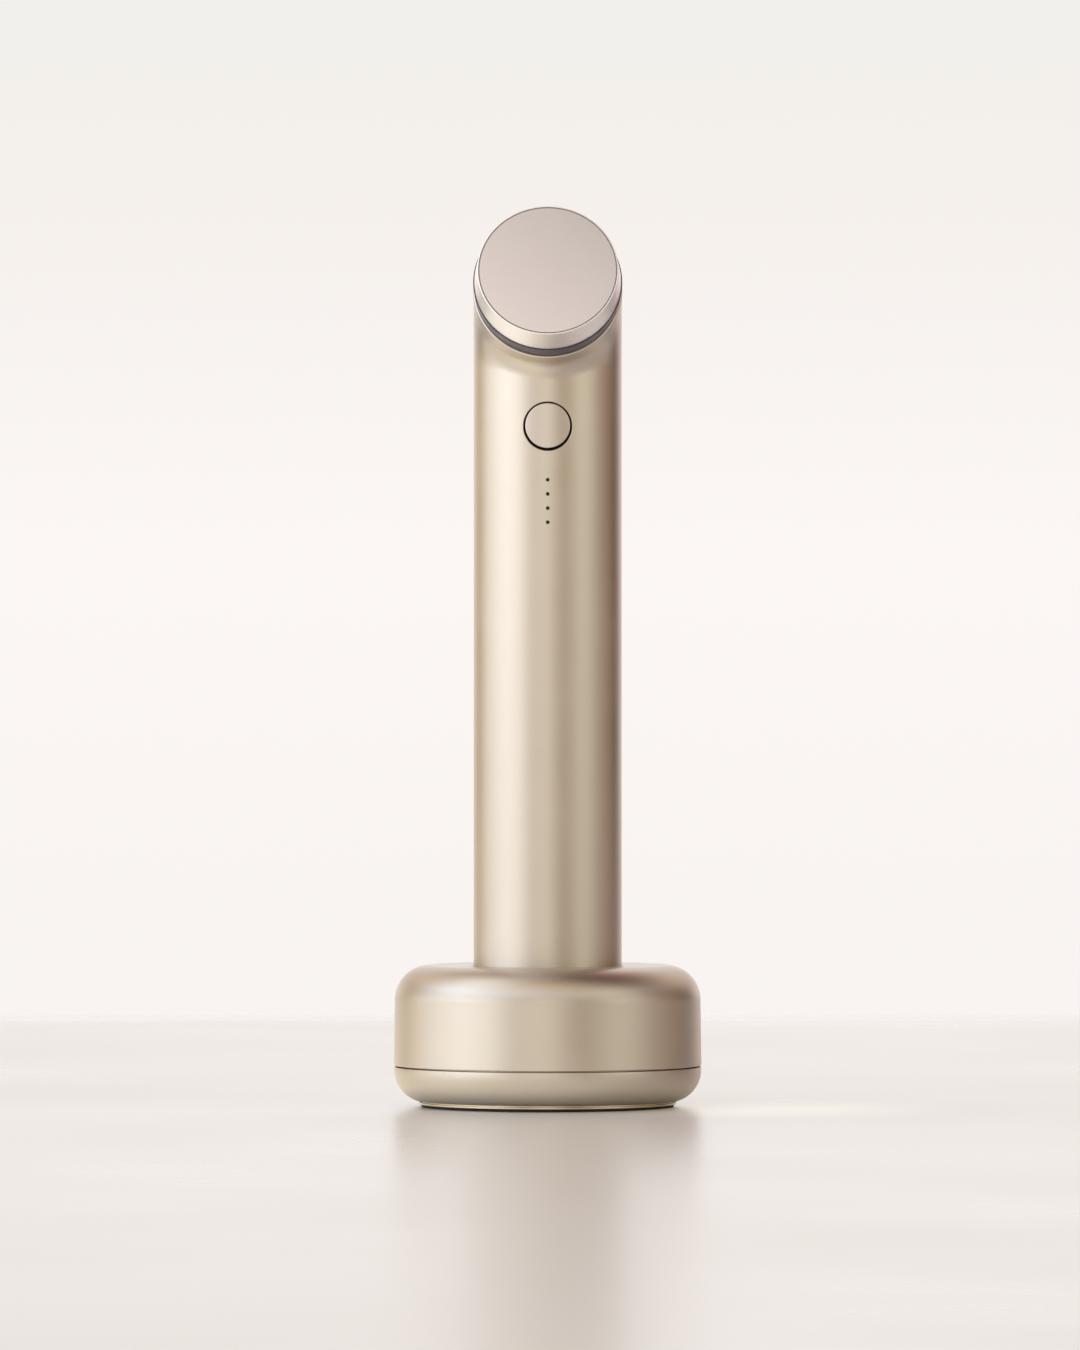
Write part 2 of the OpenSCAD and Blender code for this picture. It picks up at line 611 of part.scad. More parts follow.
module base_plate_screws() {
    color([0.7, 0.7, 0.72]) for (a = [90, 210, 330]) rotate([0, 0, a]) screw_up(15, 0, 0.75, 2.2, 0.53, 0.85, 2.1);
}

module rubber_foot() {
    color([0.07, 0.07, 0.07]) rotate_extrude() polygon([[21.3, 0], [base_r - 0.65, 0], [base_r - 0.5, 0.15],
        [base_r - 0.5, plate_z], [21.3, plate_z]]);
}

handle_tube();
treatment_head_cap();
head_light_ring();
transducer_disc();
transducer_damping_ring();
head_carrier();
head_seal();
light_ring_board();
light_ring_leds();
head_harness();
chassis();
main_board();
board_chips();
drive_transformer();
board_screws();
battery_cell();
battery_tabs();
power_button();
button_membrane();
button_bracket();
switch_body();
switch_plunger();
indicator_light_pipes();
indicator_leds();
end_cap();
end_cap_seal();
end_cap_screws();
charge_contacts();
charge_leads();
dock_upper_shell();
dock_lower_shell();
dock_well_cup();
seat_pad();
ballast_weight();
dock_board();
dock_board_chips();
dock_board_screws();
pogo_block();
pogo_barrels();
pogo_plungers();
pogo_springs();
usb_c_shell();
usb_c_tongue();
dock_screws();
base_plate();
base_plate_screws();
rubber_foot();
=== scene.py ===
import math

import bpy
import numpy as np
from mathutils import Matrix, Vector


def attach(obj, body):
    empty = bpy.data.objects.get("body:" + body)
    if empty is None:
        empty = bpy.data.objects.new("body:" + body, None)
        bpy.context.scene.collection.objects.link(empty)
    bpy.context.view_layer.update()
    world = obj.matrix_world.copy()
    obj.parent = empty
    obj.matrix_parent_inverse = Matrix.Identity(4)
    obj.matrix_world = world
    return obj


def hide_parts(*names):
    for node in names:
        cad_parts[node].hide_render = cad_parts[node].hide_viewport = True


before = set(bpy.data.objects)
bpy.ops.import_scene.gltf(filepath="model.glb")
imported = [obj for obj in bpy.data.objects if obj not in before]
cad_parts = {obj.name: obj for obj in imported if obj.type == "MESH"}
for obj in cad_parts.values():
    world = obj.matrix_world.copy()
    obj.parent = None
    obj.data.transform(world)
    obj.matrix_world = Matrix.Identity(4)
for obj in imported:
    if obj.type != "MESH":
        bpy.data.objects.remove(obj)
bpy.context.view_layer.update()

MM = 0.001
rad = math.radians

# ------------------------------------------------------------------ sizes, in mm, as in the construction
HR, WALL = 16.0, 1.6
RI = HR - WALL
BEND_Z, BEND_R, BEND_A = 157.1, 19.5, 67.5
NECK = 2.37
S_BEND = BEND_R * math.tan(rad(BEND_A / 2))
PZ = BEND_Z + S_BEND
S_LIP = S_BEND + NECK
S_RING = S_LIP + 4.0
S_FACE = S_RING + 6.0
TUBE_Z = 15.0
BTN_Z, BTN_R, BTN_GAP = 146.7, 4.85, 0.40
DOTS = [135.2 - 3.04 * i for i in range(4)]
DOT_R = 0.4
DR, DOCK_H, SHOULDER = 33.25, 30.7, 7.5
SEAM_HI, SEAM_LO = 8.95, 8.65

HEAD = (
    Matrix.Translation((0, 0, PZ)) @ Matrix.Rotation(rad(BEND_A), 4, "X")
)


# ------------------------------------------------------------------ mesh maker with exact corner normals
class Maker:
    """Collects faces in mm with a normal for every corner, so curved metal reflects without facets."""

    def __init__(self):
        self.v, self.key, self.f, self.n, self.m = [], {}, [], [], []

    def vid(self, p):
        k = (round(p[0] * 2000), round(p[1] * 2000), round(p[2] * 2000))
        i = self.key.get(k)
        if i is None:
            i = self.key[k] = len(self.v)
            self.v.append((float(p[0]), float(p[1]), float(p[2])))
        return i

    def face(self, pts, nrm, mat=0):
        ids, ns = [], []
        for p, n in zip(pts, nrm):
            i = self.vid(p)
            if ids and (i == ids[-1]):
                continue
            ids.append(i)
            ns.append(n)
        if len(ids) > 1 and ids[0] == ids[-1]:
            ids.pop()
            ns.pop()
        if len(ids) < 3 or len(set(ids)) != len(ids):
            return
        # Wind the face so that it agrees with its normals
        a, b, c = (Vector(self.v[i]) for i in (ids[0], ids[1], ids[2]))
        g = (b - a).cross(c - a)
        if len(ids) > 3:
            d = Vector(self.v[ids[3]])
            g = g + (c - a).cross(d - a)
        s = sum((Vector(n) for n in ns), Vector())
        if g.dot(s) < 0:
            ids.reverse()
            ns.reverse()
        self.f.append(ids)
        self.n.append([tuple(Vector(n).normalized()) for n in ns])
        self.m.append(mat)

    def grid(self, pts, nrm, mat=0, wrap=False):
        """pts[i][j] and nrm[i][j]; quads between neighbours."""
        rows, cols = len(pts), len(pts[0])
        for i in range(rows - 1):
            for j in range(cols if wrap else cols - 1):
                k = (j + 1) % cols
                self.face(
                    [pts[i][j], pts[i][k], pts[i + 1][k], pts[i + 1][j]],
                    [nrm[i][j], nrm[i][k], nrm[i + 1][k], nrm[i + 1][j]],
                    mat,
                )

    def build(self, name, mats):
        me = bpy.data.meshes.new(name)
        me.from_pydata([(x * MM, y * MM, z * MM) for x, y, z in self.v], [], self.f)
        me.polygons.foreach_set("use_smooth", [True] * len(me.polygons))
        me.polygons.foreach_set("material_index", self.m)
        for m in mats:
            me.materials.append(m)
        me.update()
        me.normals_split_custom_set([n for ns in self.n for n in ns])
        o = bpy.data.objects.new(name, me)
        bpy.context.scene.collection.objects.link(o)
        return o


def rounded(points, closed=True):
    """Profile with rounded corners. points: (r, z, fillet) or (r, z, fillet, steps), in order round the section with the
    material on the left. Returns segments, each a list of ((r, z), (nr, nz))."""
    n = len(points)
    cut = []
    for i in range(n):
        p = Vector(points[i][:2])
        a = Vector(points[i - 1][:2])
        b = Vector(points[(i + 1) % n][:2])
        f = points[i][2] if (closed or 0 < i < n - 1) else 0
        if f <= 0:
            cut.append((p, p, None))
            continue
        u, w = (a - p).normalized(), (b - p).normalized()
        half = math.acos(max(-1, min(1, u.dot(w)))) / 2
        d = f / math.tan(half)
        c = p + (u + w).normalized() * (f / math.sin(half))
        cut.append((p + u * d, p + w * d, c))
    segs = []
    for i in range(n if closed else n - 1):
        j = (i + 1) % n
        a, b = cut[i][1], cut[j][0]
        if (b - a).length > 1e-6:
            t = (b - a).normalized()
            nn = (t.y, -t.x)
            segs.append([((a.x, a.y), nn), ((b.x, b.y), nn)])
        p0, p1, c = cut[j]
        if c is not None:
            f = points[j][2]
            steps = points[j][3] if len(points[j]) > 3 else max(3, min(28, int(4 + f * 3)))
            a0 = math.atan2(p0.y - c.y, p0.x - c.x)
            a1 = math.atan2(p1.y - c.y, p1.x - c.x)
            while a1 - a0 > math.pi:
                a1 -= 2 * math.pi
            while a1 - a0 < -math.pi:
                a1 += 2 * math.pi
            seg = []
            turn = 1 if a1 > a0 else -1   # +1: convex when the material is on the left
            for k in range(steps + 1):
                th = a0 + (a1 - a0) * k / steps
                q = (c.x + f * math.cos(th), c.y + f * math.sin(th))
                if k == 0:
                    q = (p0.x, p0.y)
                if k == steps:
                    q = (p1.x, p1.y)
                seg.append((q, (turn * math.cos(th), turn * math.sin(th))))
            segs.append(seg)
    return segs


def lathe(mk, segs, n=192, matrix=None, mat=0, mats=None):
    """Turns profile segments about Z. mats: optional function (r, z) -> material index."""
    ang = [2 * math.pi * i / n for i in range(n)]
    cs = [(math.cos(a), math.sin(a)) for a in ang]
    rot = matrix.to_3x3() if matrix else None
    for seg in segs:
        pts, nrm = [], []
        for (r, z), (nr, nz) in seg:
            row = [(r * c, r * s, z) for c, s in cs]
            nro = [(nr * c, nr * s, nz) for c, s in cs]
            if matrix:
                row = [tuple(matrix @ Vector(p)) for p in row]
                nro = [tuple(rot @ Vector(p)) for p in nro]
            pts.append(row)
            nrm.append(nro)
        m = mat
        if mats:
            (r0, z0), (r1, z1) = seg[0][0], seg[-1][0]
            m = mats((r0 + r1) / 2, (z0 + z1) / 2)
        mk.grid(pts, nrm, m, wrap=True)


# ------------------------------------------------------------------ material tools
class Mat:
    def __init__(self, name):
        self.m = bpy.data.materials.new(name)
        self.m.use_nodes = True
        self.t = self.m.node_tree
        self.n, self.l = self.t.nodes, self.t.links
        self.b = self.n["Principled BSDF"]
        self.tc = self.n.new("ShaderNodeTexCoord")

    def set(self, **kw):
        for k, v in kw.items():
            self.b.inputs[k.replace("_", " ")].default_value = v
        return self

    def noise(self, scale, detail=2.0, rough=0.5, stretch=None, distortion=0.0):
        t = self.n.new("ShaderNodeTexNoise")
        t.inputs["Scale"].default_value = scale
        t.inputs["Detail"].default_value = detail
        t.inputs["Roughness"].default_value = rough
        t.inputs["Distortion"].default_value = distortion
        if stretch:
            mp = self.n.new("ShaderNodeMapping")
            mp.inputs["Scale"].default_value = stretch
            self.l.new(self.tc.outputs["Object"], mp.inputs["Vector"])
            self.l.new(mp.outputs["Vector"], t.inputs["Vector"])
        else:
            self.l.new(self.tc.outputs["Object"], t.inputs["Vector"])
        return t.outputs["Fac"]

    def voronoi(self, scale):
        t = self.n.new("ShaderNodeTexVoronoi")
        t.inputs["Scale"].default_value = scale
        self.l.new(self.tc.outputs["Object"], t.inputs["Vector"])
        return t.outputs["Distance"]

    def span(self, fac, lo, hi, a=0.3, b=0.7):
        r = self.n.new("ShaderNodeMapRange")
        r.inputs["From Min"].default_value = a
        r.inputs["From Max"].default_value = b
        r.inputs["To Min"].default_value = lo
        r.inputs["To Max"].default_value = hi
        self.l.new(fac, r.inputs["Value"])
        return r.outputs["Result"]

    def mix(self, fac, c0, c1):
        m = self.n.new("ShaderNodeMix")
        m.data_type = "RGBA"
        self.l.new(fac, m.inputs["Factor"])
        m.inputs["A"].default_value = (*c0, 1)
        m.inputs["B"].default_value = (*c1, 1)
        return m.outputs["Result"]

    def add(self, a, b, wa=1.0, wb=1.0):
        x = self.n.new("ShaderNodeMath")
        x.operation = "MULTIPLY"
        self.l.new(a, x.inputs[0])
        x.inputs[1].default_value = wa
        y = self.n.new("ShaderNodeMath")
        y.operation = "MULTIPLY_ADD"
        self.l.new(b, y.inputs[0])
        y.inputs[1].default_value = wb
        self.l.new(x.outputs[0], y.inputs[2])
        return y.outputs[0]

    def fade(self, color, slope, offset):
        """Painted shading across a piece: the colour times slope . position + offset, so one way it is painted lighter
        and the other darker.
        """
        d = self.n.new("ShaderNodeVectorMath")
        d.operation = "DOT_PRODUCT"
        self.l.new(self.tc.outputs["Object"], d.inputs[0])
        d.inputs[1].default_value = slope
        a = self.n.new("ShaderNodeMath")
        a.operation = "ADD"
        self.l.new(d.outputs["Value"], a.inputs[0])
        a.inputs[1].default_value = offset
        v = self.n.new("ShaderNodeVectorMath")
        v.operation = "SCALE"
        self.l.new(color, v.inputs[0])
        self.l.new(a.outputs[0], v.inputs["Scale"])
        return v.outputs[0]

    def color(self, out):
        self.l.new(out, self.b.inputs["Base Color"])
        return self

    def rough(self, out):
        self.l.new(out, self.b.inputs["Roughness"])
        return self

    def bump(self, out, strength, dist):
        x = self.n.new("ShaderNodeBump")
        x.inputs["Strength"].default_value = strength
        x.inputs["Distance"].default_value = dist
        self.l.new(out, x.inputs["Height"])
        self.l.new(x.outputs["Normal"], self.b.inputs["Normal"])
        return self


def blasted(name, c0, c1, rough0, rough1, bump=0.12, grain=5200.0, fade=None):
    """Bead-blasted, anodised metal: a fine even grain, faint cloudiness in tone and gloss, and, when asked for, a
    gradient of painted shading across the piece.
    """
    m = Mat(name).set(Metallic=1.0)
    fine = m.noise(grain, 3.0, 0.6)
    cloud = m.noise(55.0, 3.0, 0.55)
    tone = m.mix(m.span(m.add(cloud, fine, 0.6, 0.4), 0, 1, 0.35, 0.65), c0, c1)
    if fade:
        tone = m.fade(tone, *fade)
    m.color(tone)
    m.rough(m.span(m.add(cloud, fine, 0.5, 0.5), rough0, rough1, 0.35, 0.65))
    m.bump(fine, bump, 0.00003)
    return m.m


def face_painted_shading(across, up):
    """Painted shading over the treatment face, changing from its middle to its rim, rightwards and upwards, in place of
    light that falls off across the face.
    """
    u = HEAD.to_3x3() @ Vector((0, 1, 0))
    c = HEAD @ Vector((0, 0, S_FACE)) * MM
    slope = (Vector((across, 0, 0)) + u * up) / (15 * MM)
    return tuple(slope), 1.0 - slope.dot(c)


# The champagne metal gets painted shading: lighter higher up and darker lower down, in place of how the light falls
# over the wand and the dock.
CHAMPAGNE = blasted("champagne_metal", (0.602, 0.548, 0.484), (0.638, 0.582, 0.516), 0.335, 0.385, 0.26,
                    fade=((0.0, 0.0, 0.8), 1.0 - 0.8 * 0.088))
BUTTON = blasted("button_metal", (0.640, 0.585, 0.545), (0.672, 0.615, 0.575), 0.33, 0.38, 0.16)
GOLD = blasted("gold_plate", (0.530, 0.452, 0.336), (0.570, 0.488, 0.364), 0.20, 0.26, 0.06)
# The treatment face's own pinkish grey, with painted shading: darker towards the upper right, lighter towards the lower
# left.
FACE = blasted("head_metal_face", (0.712, 0.690, 0.712), (0.736, 0.714, 0.736), 0.42, 0.48, 0.10,
               fade=face_painted_shading(-0.08, -0.10))


def polished(name, c0, c1, r0, r1):
    """Turned and polished metal with very fine turning lines and a little haze."""
    m = Mat(name).set(Metallic=1.0)
    cloud = m.noise(140.0, 3.0, 0.5)
    fine = m.noise(2600.0, 2.0, 0.5)
    m.color(m.mix(m.span(cloud, 0, 1), c0, c1))
    m.rough(m.span(m.add(cloud, fine, 0.6, 0.4), r0, r1))
    m.bump(fine, 0.02, 0.00001)
    return m.m


BEVEL = polished("head_metal_polished", (0.95, 0.94, 0.955), (0.97, 0.96, 0.975), 0.37, 0.41)
# Dark metal for the fine groove round the treatment face: painted shade, in place of the shadow in the groove.
GROOVE_SHADE = polished("head_groove_painted_shade", (0.27, 0.26, 0.27), (0.31, 0.30, 0.31), 0.24, 0.30)


def moulded(name, c0, c1, r0, r1, bump=0.1, grain=1800.0, **kw):
    m = Mat(name)
    m.set(Metallic=0.0, **kw)
    fine = m.noise(grain, 3.0, 0.6)
    cloud = m.noise(90.0, 3.0, 0.5)
    m.color(m.mix(m.span(m.add(cloud, fine, 0.5, 0.5), 0, 1), c0, c1))
    m.rough(m.span(m.add(cloud, fine, 0.5, 0.5), r0, r1))
    m.bump(fine, bump, 0.00004)
    return m.m


SMOKED = moulded("smoked_ring", (0.034, 0.028, 0.066), (0.040, 0.033, 0.076), 0.22, 0.27, 0.015, 900.0, IOR=1.55)
PLASTIC = moulded("black_plastic", (0.020, 0.020, 0.022), (0.028, 0.028, 0.031), 0.48, 0.60, 0.25)
SILICONE = moulded("grey_silicone", (0.060, 0.060, 0.064), (0.075, 0.075, 0.080), 0.62, 0.74, 0.15)
RUBBER = moulded("foot_rubber", (0.010, 0.010, 0.010), (0.016, 0.016, 0.015), 0.66, 0.80, 0.3, 2600.0)
SEAL = moulded("seal_rubber", (0.012, 0.012, 0.013), (0.018, 0.018, 0.019), 0.40, 0.52, 0.08)
CHIP = moulded("chip_black", (0.012, 0.012, 0.013), (0.020, 0.020, 0.021), 0.42, 0.55, 0.2, 3000.0)
# Near-black for the walls of the tube's holes and for the button cap's side and flange: painted shade, so the gaps read
# dark.
GAP_SHADE = moulded("gap_painted_shade", (0.006, 0.006, 0.006), (0.010, 0.010, 0.010), 0.50, 0.62, 0.1)
PIPE = moulded("dark_light_pipe", (0.004, 0.004, 0.005), (0.007, 0.007, 0.008), 0.35, 0.45, 0.05)
REDWIRE = moulded("red_wire", (0.35, 0.018, 0.012), (0.42, 0.025, 0.017), 0.35, 0.45, 0.05)
BLACKWIRE = moulded("black_wire", (0.012, 0.012, 0.012), (0.018, 0.018, 0.018), 0.35, 0.45, 0.05)
LED = moulded("led", (0.75, 0.70, 0.45), (0.85, 0.80, 0.55), 0.15, 0.25, 0.03)
CELLWRAP = moulded("cell_wrap", (0.020, 0.085, 0.26), (0.028, 0.105, 0.31), 0.22, 0.32, 0.05, 500.0)


def circuit(name):
    """Solder mask with faint copper tracks under it."""
    m = Mat(name).set(Metallic=0.0)
    tracks = m.n.new("ShaderNodeTexBrick")
    tracks.inputs["Scale"].default_value = 420.0
    tracks.inputs["Mortar Size"].default_value = 0.03
    m.l.new(m.tc.outputs["Object"], tracks.inputs["Vector"])
    cloud = m.noise(160.0, 2.0, 0.5)
    base = m.mix(m.span(cloud, 0, 1), (0.010, 0.062, 0.030), (0.014, 0.078, 0.038))
    mx = m.n.new("ShaderNodeMix")
    mx.data_type = "RGBA"
    m.l.new(tracks.outputs["Fac"], mx.inputs["Factor"])
    m.l.new(base, mx.inputs["A"])
    mx.inputs["B"].default_value = (0.022, 0.115, 0.050, 1)
    m.color(mx.outputs["Result"])
    m.rough(m.span(cloud, 0.28, 0.38))
    m.bump(tracks.outputs["Fac"], 0.15, 0.00003)
    return m.m


BOARD = circuit("circuit_board")
STEEL = polished("steel_screw", (0.50, 0.50, 0.51), (0.58, 0.58, 0.59), 0.24, 0.36)
NICKEL = polished("nickel", (0.62, 0.61, 0.58), (0.68, 0.66, 0.63), 0.18, 0.28)
CONTACT = polished("contact_gold", (0.83, 0.60, 0.27), (0.88, 0.66, 0.31), 0.14, 0.22)
CERAMIC = polished("piezo_ceramic", (0.66, 0.65, 0.62), (0.74, 0.73, 0.70), 0.34, 0.46)
FERRITE = moulded("ferrite", (0.030, 0.028, 0.026), (0.045, 0.042, 0.038), 0.45, 0.60, 0.4, 1500.0)
BALLAST = moulded("cast_ballast", (0.045, 0.045, 0.048), (0.065, 0.065, 0.068), 0.45, 0.62, 0.6, 700.0)


# ------------------------------------------------------------------ handle tube
def cyl_pt(r, th, z):
    return (r * math.sin(th), -r * math.cos(th), z)


def cyl_n(th, s=1.0):
    return (s * math.sin(th), -s * math.cos(th), 0.0)


TAN_HALF = math.tan(rad(BEND_A / 2))


def blend(th):
    """Bend radius of one generator of the tube: tight under the head, opening towards the back."""
    d = HR * math.cos(th)
    return 4.1 + 0.5 * ((12.3 - d) + math.sqrt((12.3 - d) ** 2 + 1.5))


def bend_pt(r, th, a):
    """Point of the bend at angle a (radians) on a circle of radius r round the centreline."""
    rho = blend(th)
    reach = HR * math.cos(th) + rho
    out = rho + (HR - r) * math.cos(th)
    return (r * math.sin(th), -reach + out * math.cos(a), PZ - TAN_HALF * reach + out * math.sin(a))


def bend_n(r, th, a, s=1.0):
    e = 1e-4
    u = Vector(bend_pt(r, th + e, a)) - Vector(bend_pt(r, th - e, a))
    v = Vector(bend_pt(r, th, a + e)) - Vector(bend_pt(r, th, a - e))
    return tuple(u.cross(v).normalized() * s)


NT = 144                      # 2.5 degrees each; index 0 is the front, x = 0
STEP = 2 * math.pi / NT


def hole_patch(mk, r, sgn, zc, half_i, zrows, hole_r, inner_r, chamfer, ring_steps, mat, lip_mat, fine=1):
    """A square patch of the tube's wall round a hole drilled along Y: rings from the hole's circle out to the square.
    half_i: half-width of the patch in grid steps; zrows: the patch's heights on the grid."""
    nz = len(zrows) - 1
    # Boundary of the square, counter-clockwise from the middle of the right side, as (theta, z)
    path = []
    cols = list(range(-half_i, half_i + 1))
    right = [(half_i * STEP, z) for z in zrows]
    top = [(c * STEP, zrows[-1]) for c in reversed(cols)]
    left = [(-half_i * STEP, z) for z in reversed(zrows)]
    bottom = [(c * STEP, zrows[0]) for c in cols]
    path = right[:-1] + top[:-1] + left[:-1] + bottom[:-1]
    n = len(path)
    # Angle of each boundary point as seen from the hole's centre, in the drilled plane
    ang = [math.atan2(z - zc, r * math.sin(th)) for th, z in path]

    def on(rad_, a):
        return (math.asin(max(-1, min(1, rad_ * math.cos(a) / r))), zc + rad_ * math.sin(a))

    rings = []
    for k in range(ring_steps + 1):
        f = (k / ring_steps) ** 1.35
        row = []
        for (th, z), a in zip(path, ang):
            t0, z0 = on(hole_r, a)
            row.append((t0 + (th - t0) * f, z0 + (z - z0) * f) if k < ring_steps else (th, z))
        rings.append(row)
    pts = [[cyl_pt(r, th, z) for th, z in row] for row in rings]
    nrm = [[cyl_n(th, sgn) for th, z in row] for row in rings]
    if fine == 1:
        mk.grid(pts, nrm, mat, wrap=True)
        edge = [(p, a) for p, a in zip(pts[0], ang)]
    else:
        # The innermost ring has `fine` times the points, so a small hole is round
        mk.grid(pts[1:], nrm[1:], mat, wrap=True)
        m = n * fine
        a_f = []
        for j in range(n):
            a0, a1 = ang[j], ang[(j + 1) % n]
            while a1 < a0:
                a1 += 2 * math.pi
            a_f += [a0 + (a1 - a0) * q / fine for q in range(fine)]
        inner = [on(hole_r, a) for a in a_f]
        ip = [cyl_pt(r, th, z) for th, z in inner]
        inn = [cyl_n(th, sgn) for th, z in inner]
        for j in range(n):
            k = (j + 1) % n
            ids = [(j * fine + q) % m for q in range(fine + 1)]
            mk.face([pts[1][j], pts[1][k]] + [ip[i] for i in reversed(ids)],
                    [nrm[1][j], nrm[1][k]] + [inn[i] for i in reversed(ids)], mat)
        edge = list(zip(ip, a_f))
    return edge


def tube_surface(mk, r, sgn, mat):
    """One skin of the tube, with the button's hole and the indicator holes left open. Returns the rows and half-widths
    of the holes' patches and the ring at the bend's end.
    """
    holes = []
    b_half = 12                                     # 30 degrees: x = +-8 mm
    bz = [BTN_Z - 8 + 16 * i / 24 for i in range(25)]
    d_half = 2                                      # 5 degrees
    skip = set()
    # Heights of all the rows
    zs = [TUBE_Z + 0.35, 20, 30.4, 31.2, 40, 55, 70, 85, 100, 112, 120]
    dot_rows = []
    for zc in reversed(DOTS):
        rows = [zc - 1.52 + 3.04 * i / 4 for i in range(5)]
        dot_rows.append((zc, rows))
    lo, hi = dot_rows[0][1][0], dot_rows[-1][1][-1]
    zs = [z for z in zs if z < lo - 0.5]
    for i, (zc, rows) in enumerate(dot_rows):
        if i and abs(rows[0] - zs[-1]) < 1e-6:
            rows[0] = zs[-1]
            zs += rows[1:]
        else:
            zs += rows
    zs += [z for z in (hi + 0.6,) if z < bz[0] - 0.3]
    zs += bz
    zs += [155.4]
    rows = [[cyl_pt(r, j * STEP, z) for j in range(NT)] for z in zs]
    nrms = [[cyl_n(j * STEP, sgn) for j in range(NT)] for z in zs]

    def inside(j, z0, z1):
        jj = j if j < NT // 2 else j - NT
        zm = (z0 + z1) / 2
        if -b_half <= jj < b_half and bz[0] < zm < bz[-1]:
            return True
        return -d_half <= jj < d_half and lo < zm < hi

    for i in range(len(zs) - 1):
        for j in range(NT):
            if inside(j, zs[i], zs[i + 1]):
                continue
            k = (j + 1) % NT
            mk.face([rows[i][j], rows[i][k], rows[i + 1][k], rows[i + 1][j]],
                    [nrms[i][j], nrms[i][k], nrms[i + 1][k], nrms[i + 1][j]], mat)
    # Bend
    na = 54
    br = [[bend_pt(r, j * STEP, rad(BEND_A) * i / na) for j in range(NT)] for i in range(na + 1)]
    bn = [[bend_n(r, j * STEP, rad(BEND_A) * i / na, sgn) for j in range(NT)] for i in range(na + 1)]
    mk.grid([rows[-1], br[0]], [nrms[-1], bn[0]], mat, wrap=True)
    mk.grid(br, bn, mat, wrap=True)
    return bz, b_half, dot_rows, d_half, br[-1]


def neck_ring(r, s):
    """Ring of points on the head's axis at distance s, lined up with the bend's columns."""
    a = rad(BEND_A)
    n = Vector((0, -math.sin(a), math.cos(a)))
    base = Vector((0, 0, PZ)) + n * s
    out = []
    for j in range(NT):
        th = j * STEP
        u = Vector((math.sin(th), -math.cos(th) * math.cos(a), -math.cos(th) * math.sin(a)))
        out.append((tuple(base + u * r), u))
    return out, n


def make_handle():
    mk = Maker()
    outer = tube_surface(mk, HR, 1.0, 0)
    bz, b_half, dot_rows, d_half, end_o = outer
    inner = tube_surface(mk, RI, -1.0, 0)
    end_i = inner[4]
    ch = 0.13
    hole_r = BTN_R + BTN_GAP
    eo = hole_patch(mk, HR, 1.0, BTN_Z, b_half, bz, hole_r + ch, hole_r, ch, 7, 0, 1)
    ei = hole_patch(mk, RI, -1.0, BTN_Z, b_half, bz, hole_r, hole_r, 0, 7, 0, 1)
    fix_and_wall(mk, eo, ei, hole_r, ch, BTN_Z)
    for zc, rows in dot_rows:
        eo = hole_patch(mk, HR, 1.0, zc, d_half, rows, DOT_R + 0.02, DOT_R, 0.02, 3, 0, 1, fine=3)
        ei = hole_patch(mk, RI, -1.0, zc, d_half, rows, DOT_R, DOT_R, 0, 3, 0, 1, fine=3)
        fix_and_wall(mk, eo, ei, DOT_R, 0.02, zc)
    # Neck and lip
    lip = 0.30
    a, n = neck_ring(HR, S_LIP - lip)
    mk.grid([end_o, [p for p, u in a]], [[tuple(u) for p, u in a]] * 2, 0, wrap=True)
    steps = 8
    prev, prev_n = [p for p, u in a], [tuple(u) for p, u in a]
    for k in range(1, steps + 1):
        t = math.pi / 2 * k / steps
        rr = HR - lip + lip * math.cos(t)
        ss = S_LIP - lip + lip * math.sin(t)
        b, _ = neck_ring(rr, ss)
        nn = [tuple((u * math.cos(t) + n * math.sin(t)).normalized()) for p, u in b]
        mk.grid([prev, [p for p, u in b]], [prev_n, nn], 0, wrap=True)
        prev, prev_n = [p for p, u in b], nn
    c, _ = neck_ring(RI, S_LIP)
    mk.grid([prev, [p for p, u in c]], [[tuple(n)] * NT] * 2, 0, wrap=True)
    mk.grid([[p for p, u in c], end_i], [[tuple(-u) for p, u in c]] * 2, 0, wrap=True)
    # Lower end, with a small chamfer
    e = 0.35
    top = [cyl_pt(HR, j * STEP, TUBE_Z + e) for j in range(NT)]
    low = [cyl_pt(HR - e, j * STEP, TUBE_Z) for j in range(NT)]
    inr = [cyl_pt(RI, j * STEP, TUBE_Z) for j in range(NT)]
    inr2 = [cyl_pt(RI, j * STEP, TUBE_Z + e) for j in range(NT)]
    cn = [tuple((Vector(cyl_n(j * STEP)) + Vector((0, 0, -1))).normalized()) for j in range(NT)]
    dn = [(0, 0, -1)] * NT
    mk.grid([top, low], [cn, cn], 0, wrap=True)
    mk.grid([low, inr], [dn, dn], 0, wrap=True)
    mk.grid([inr, inr2], [[cyl_n(j * STEP, -1) for j in range(NT)]] * 2, 0, wrap=True)
    return mk.build("handle_shell", [CHAMPAGNE, GAP_SHADE])


def fix_and_wall(mk, eo, ei, hole_r, ch, zc):
    """Joins the outer hole edge to the inner one. Both lists run round the hole with their own angles, so the inner
    skin's angles are matched to the outer's by walking both rings in step."""
    n = len(eo)
    c0, c1, w1, nc, nw, nw1 = [], [], [], [], [], []
    for (p, a), (q, b) in zip(eo, ei):
        x, z = hole_r * math.cos(a), hole_r * math.sin(a)
        c0.append(p)
        c1.append((x, -math.sqrt(HR * HR - x * x) + ch, zc + z))
        w1.append(q)
        inward = Vector((-math.cos(a), 0, -math.sin(a)))
        th = math.asin(max(-1, min(1, p[0] / HR)))
        nc.append(tuple((inward + Vector(cyl_n(th))).normalized()))
        nw.append(tuple(inward))
        nw1.append((-math.cos(b), 0, -math.sin(b)))
    mk.grid([c0, c1], [nc, nc], 0, wrap=True)
    # The hole's wall is painted near-black: painted shade in the gap.
    mk.grid([c1, w1], [nw, nw1], 1, wrap=True)


